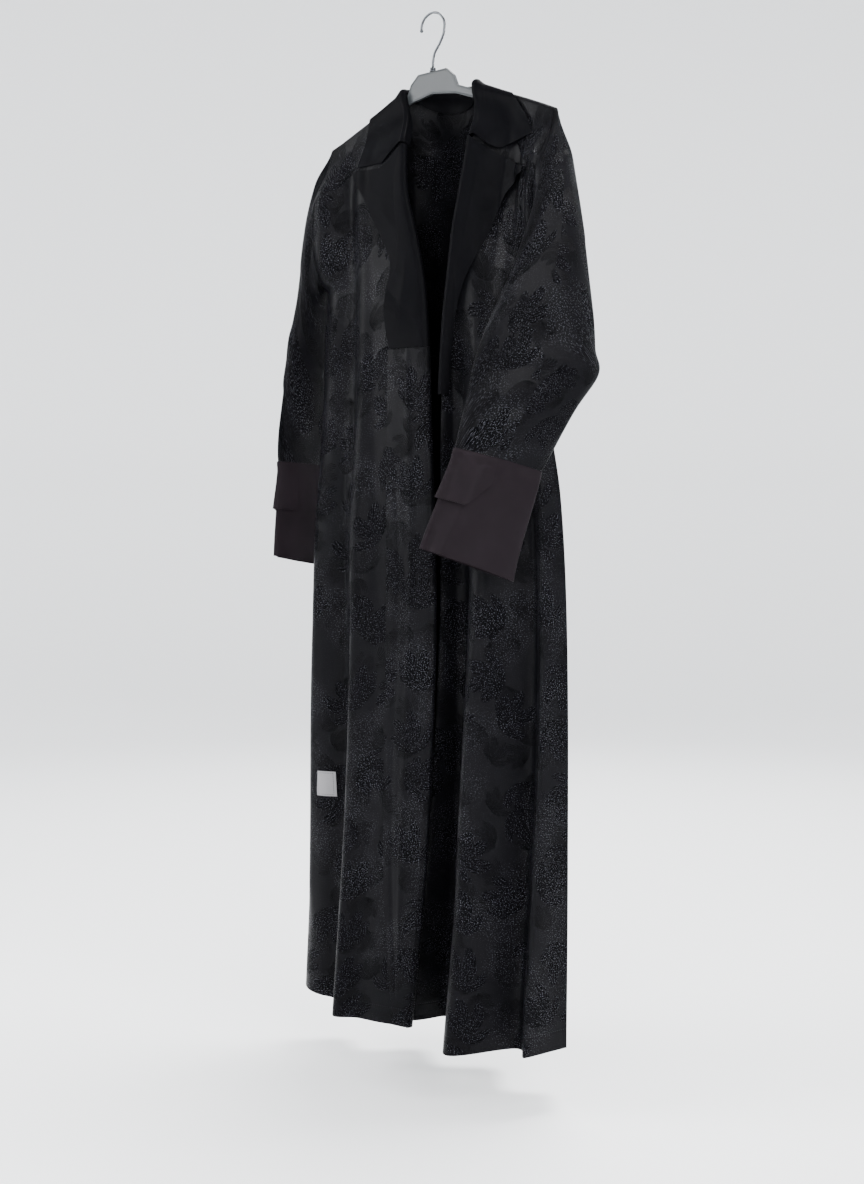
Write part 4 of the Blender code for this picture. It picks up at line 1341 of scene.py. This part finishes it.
# %% Make the socket
SOCKET = ((0.0000, -0.0890), (0.0052, -0.0890), (0.0055, -0.0880), (0.0050, -0.0870),
          (0.0046, -0.0850), (0.0044, -0.0832), (0.0030, -0.0826), (0.0000, -0.0826))


def turn_profile(points, steps, merge):
    """A bmesh made by spinning (radius, height) points once round the axis."""
    bm = bmesh.new()
    profile = [bm.verts.new((radius, 0.0, z)) for radius, z in points]
    edges = [bm.edges.new(pair) for pair in zip(profile, profile[1:])]
    bmesh.ops.spin(bm, geom=profile + edges, cent=(0, 0, 0), axis=(0, 0, 1), dvec=(0, 0, 0),
                   angle=2 * math.pi, steps=steps, use_merge=True, use_duplicate=False)
    bmesh.ops.remove_doubles(bm, verts=bm.verts, dist=merge)
    return bm


bm = turn_profile(SOCKET, 32, 1e-6)
bmesh.ops.recalc_face_normals(bm, faces=bm.faces)
socket = put_in_scene("hook_socket", finish_mesh(bm, "hook_socket", CHROME))
socket.data.shade_smooth()
claim(socket, "hanger_ferrule")
print("socket:", len(socket.data.polygons), "faces")

# %% [markdown]
# ## The studio
#
# The cloak hangs in a white studio whose floor runs up into the wall without a
# corner. The same sweep goes all the way round here, made by spinning one
# profile, so every view has the same quiet ground. Broad lamps on all sides
# give black cloth its soft grey edges; the one overhead is smaller, and throws
# a faint shadow on the floor.

# %% Floor and walls
FLOOR = -1.655
SWEEP = ((0.0, 0.0), (3.6, 0.0), (4.6, 0.06), (5.4, 0.35), (5.9, 0.9), (6.1, 1.8), (6.2, 5.5))
sweep_table = [(index, *point) for index, point in enumerate(SWEEP)]
rise = [(read(sweep_table, k / 6, 1), FLOOR + read(sweep_table, k / 6, 2))
        for k in range(6 * (len(SWEEP) - 1) + 1)]
paint, _, _ = new_material("matt_white_studio_paint", Metallic=0.0, Roughness=0.9,
                           Base_Color=swatch("#f1f2f3"))
bm = turn_profile(rise, 96, 1e-5)
sweep = put_in_scene("studio_sweep", finish_mesh(bm, "studio_sweep", paint))
sweep.data.shade_smooth()
print("studio sweep:", len(sweep.data.polygons), "faces")

# %% Lamps and sky
LAMPS = (
    ("lamp_front", (1.5, -3.6, -0.2), 1.0, 1.2, 60.0),
    ("lamp_right", (3.0, -1.6, 0.9), 2.2, 2.6, 210.0),
    ("lamp_left", (-2.4, -2.6, 0.7), 2.0, 2.4, 190.0),
    ("lamp_above", (0.5, 0.8, 2.6), 1.6, 1.6, 250.0),
    ("lamp_behind", (-1.6, 2.6, 1.0), 2.0, 2.2, 110.0),
)
TARGET = Vector((0.0, 0.0, -0.8))
for name, position, width, height, power in LAMPS:
    light = bpy.data.lights.new(name, "AREA")
    light.shape = "RECTANGLE"
    light.size = width
    light.size_y = height
    light.energy = power
    lamp = put_in_scene(name, light)
    lamp.location = position
    lamp.rotation_euler = (TARGET - Vector(position)).to_track_quat("-Z", "Y").to_euler()
    lamp.visible_camera = False
print("lamps:", len(LAMPS))
world = bpy.data.worlds.new("pale_studio")
world.use_nodes = True
world.node_tree.nodes["Background"].inputs["Color"].default_value = swatch("#eceef2")
world.node_tree.nodes["Background"].inputs["Strength"].default_value = 1.15
bpy.context.scene.world = world

# %% [markdown]
# ## The camera
#
# The photograph was taken level, from the cloak's front left, with a long lens
# and the frame slid down a little so that upright lines stay upright. The
# frame is 864 by 1184, and the lens is given for its long side.

# %% Camera
TURN = math.radians(38.0)
DISTANCE = 2.8
EYE = -0.759
FRAME_HEIGHT = 1184
LENS = 1815 / FRAME_HEIGHT
SLIDE = (-1 / FRAME_HEIGHT, -86 / FRAME_HEIGHT)
camera_data = bpy.data.cameras.new("studio_camera")
camera_data.sensor_fit = "VERTICAL"
camera_data.sensor_height = 36.0
camera_data.lens = camera_data.sensor_height * LENS
camera_data.shift_x, camera_data.shift_y = SLIDE
camera = put_in_scene("studio_camera", camera_data)
camera.location = (DISTANCE * math.sin(TURN), -DISTANCE * math.cos(TURN), EYE)
camera.rotation_euler = (math.pi / 2, 0.0, TURN)
bpy.context.scene.camera = camera
print("camera at", [round(c, 3) for c in camera.location])
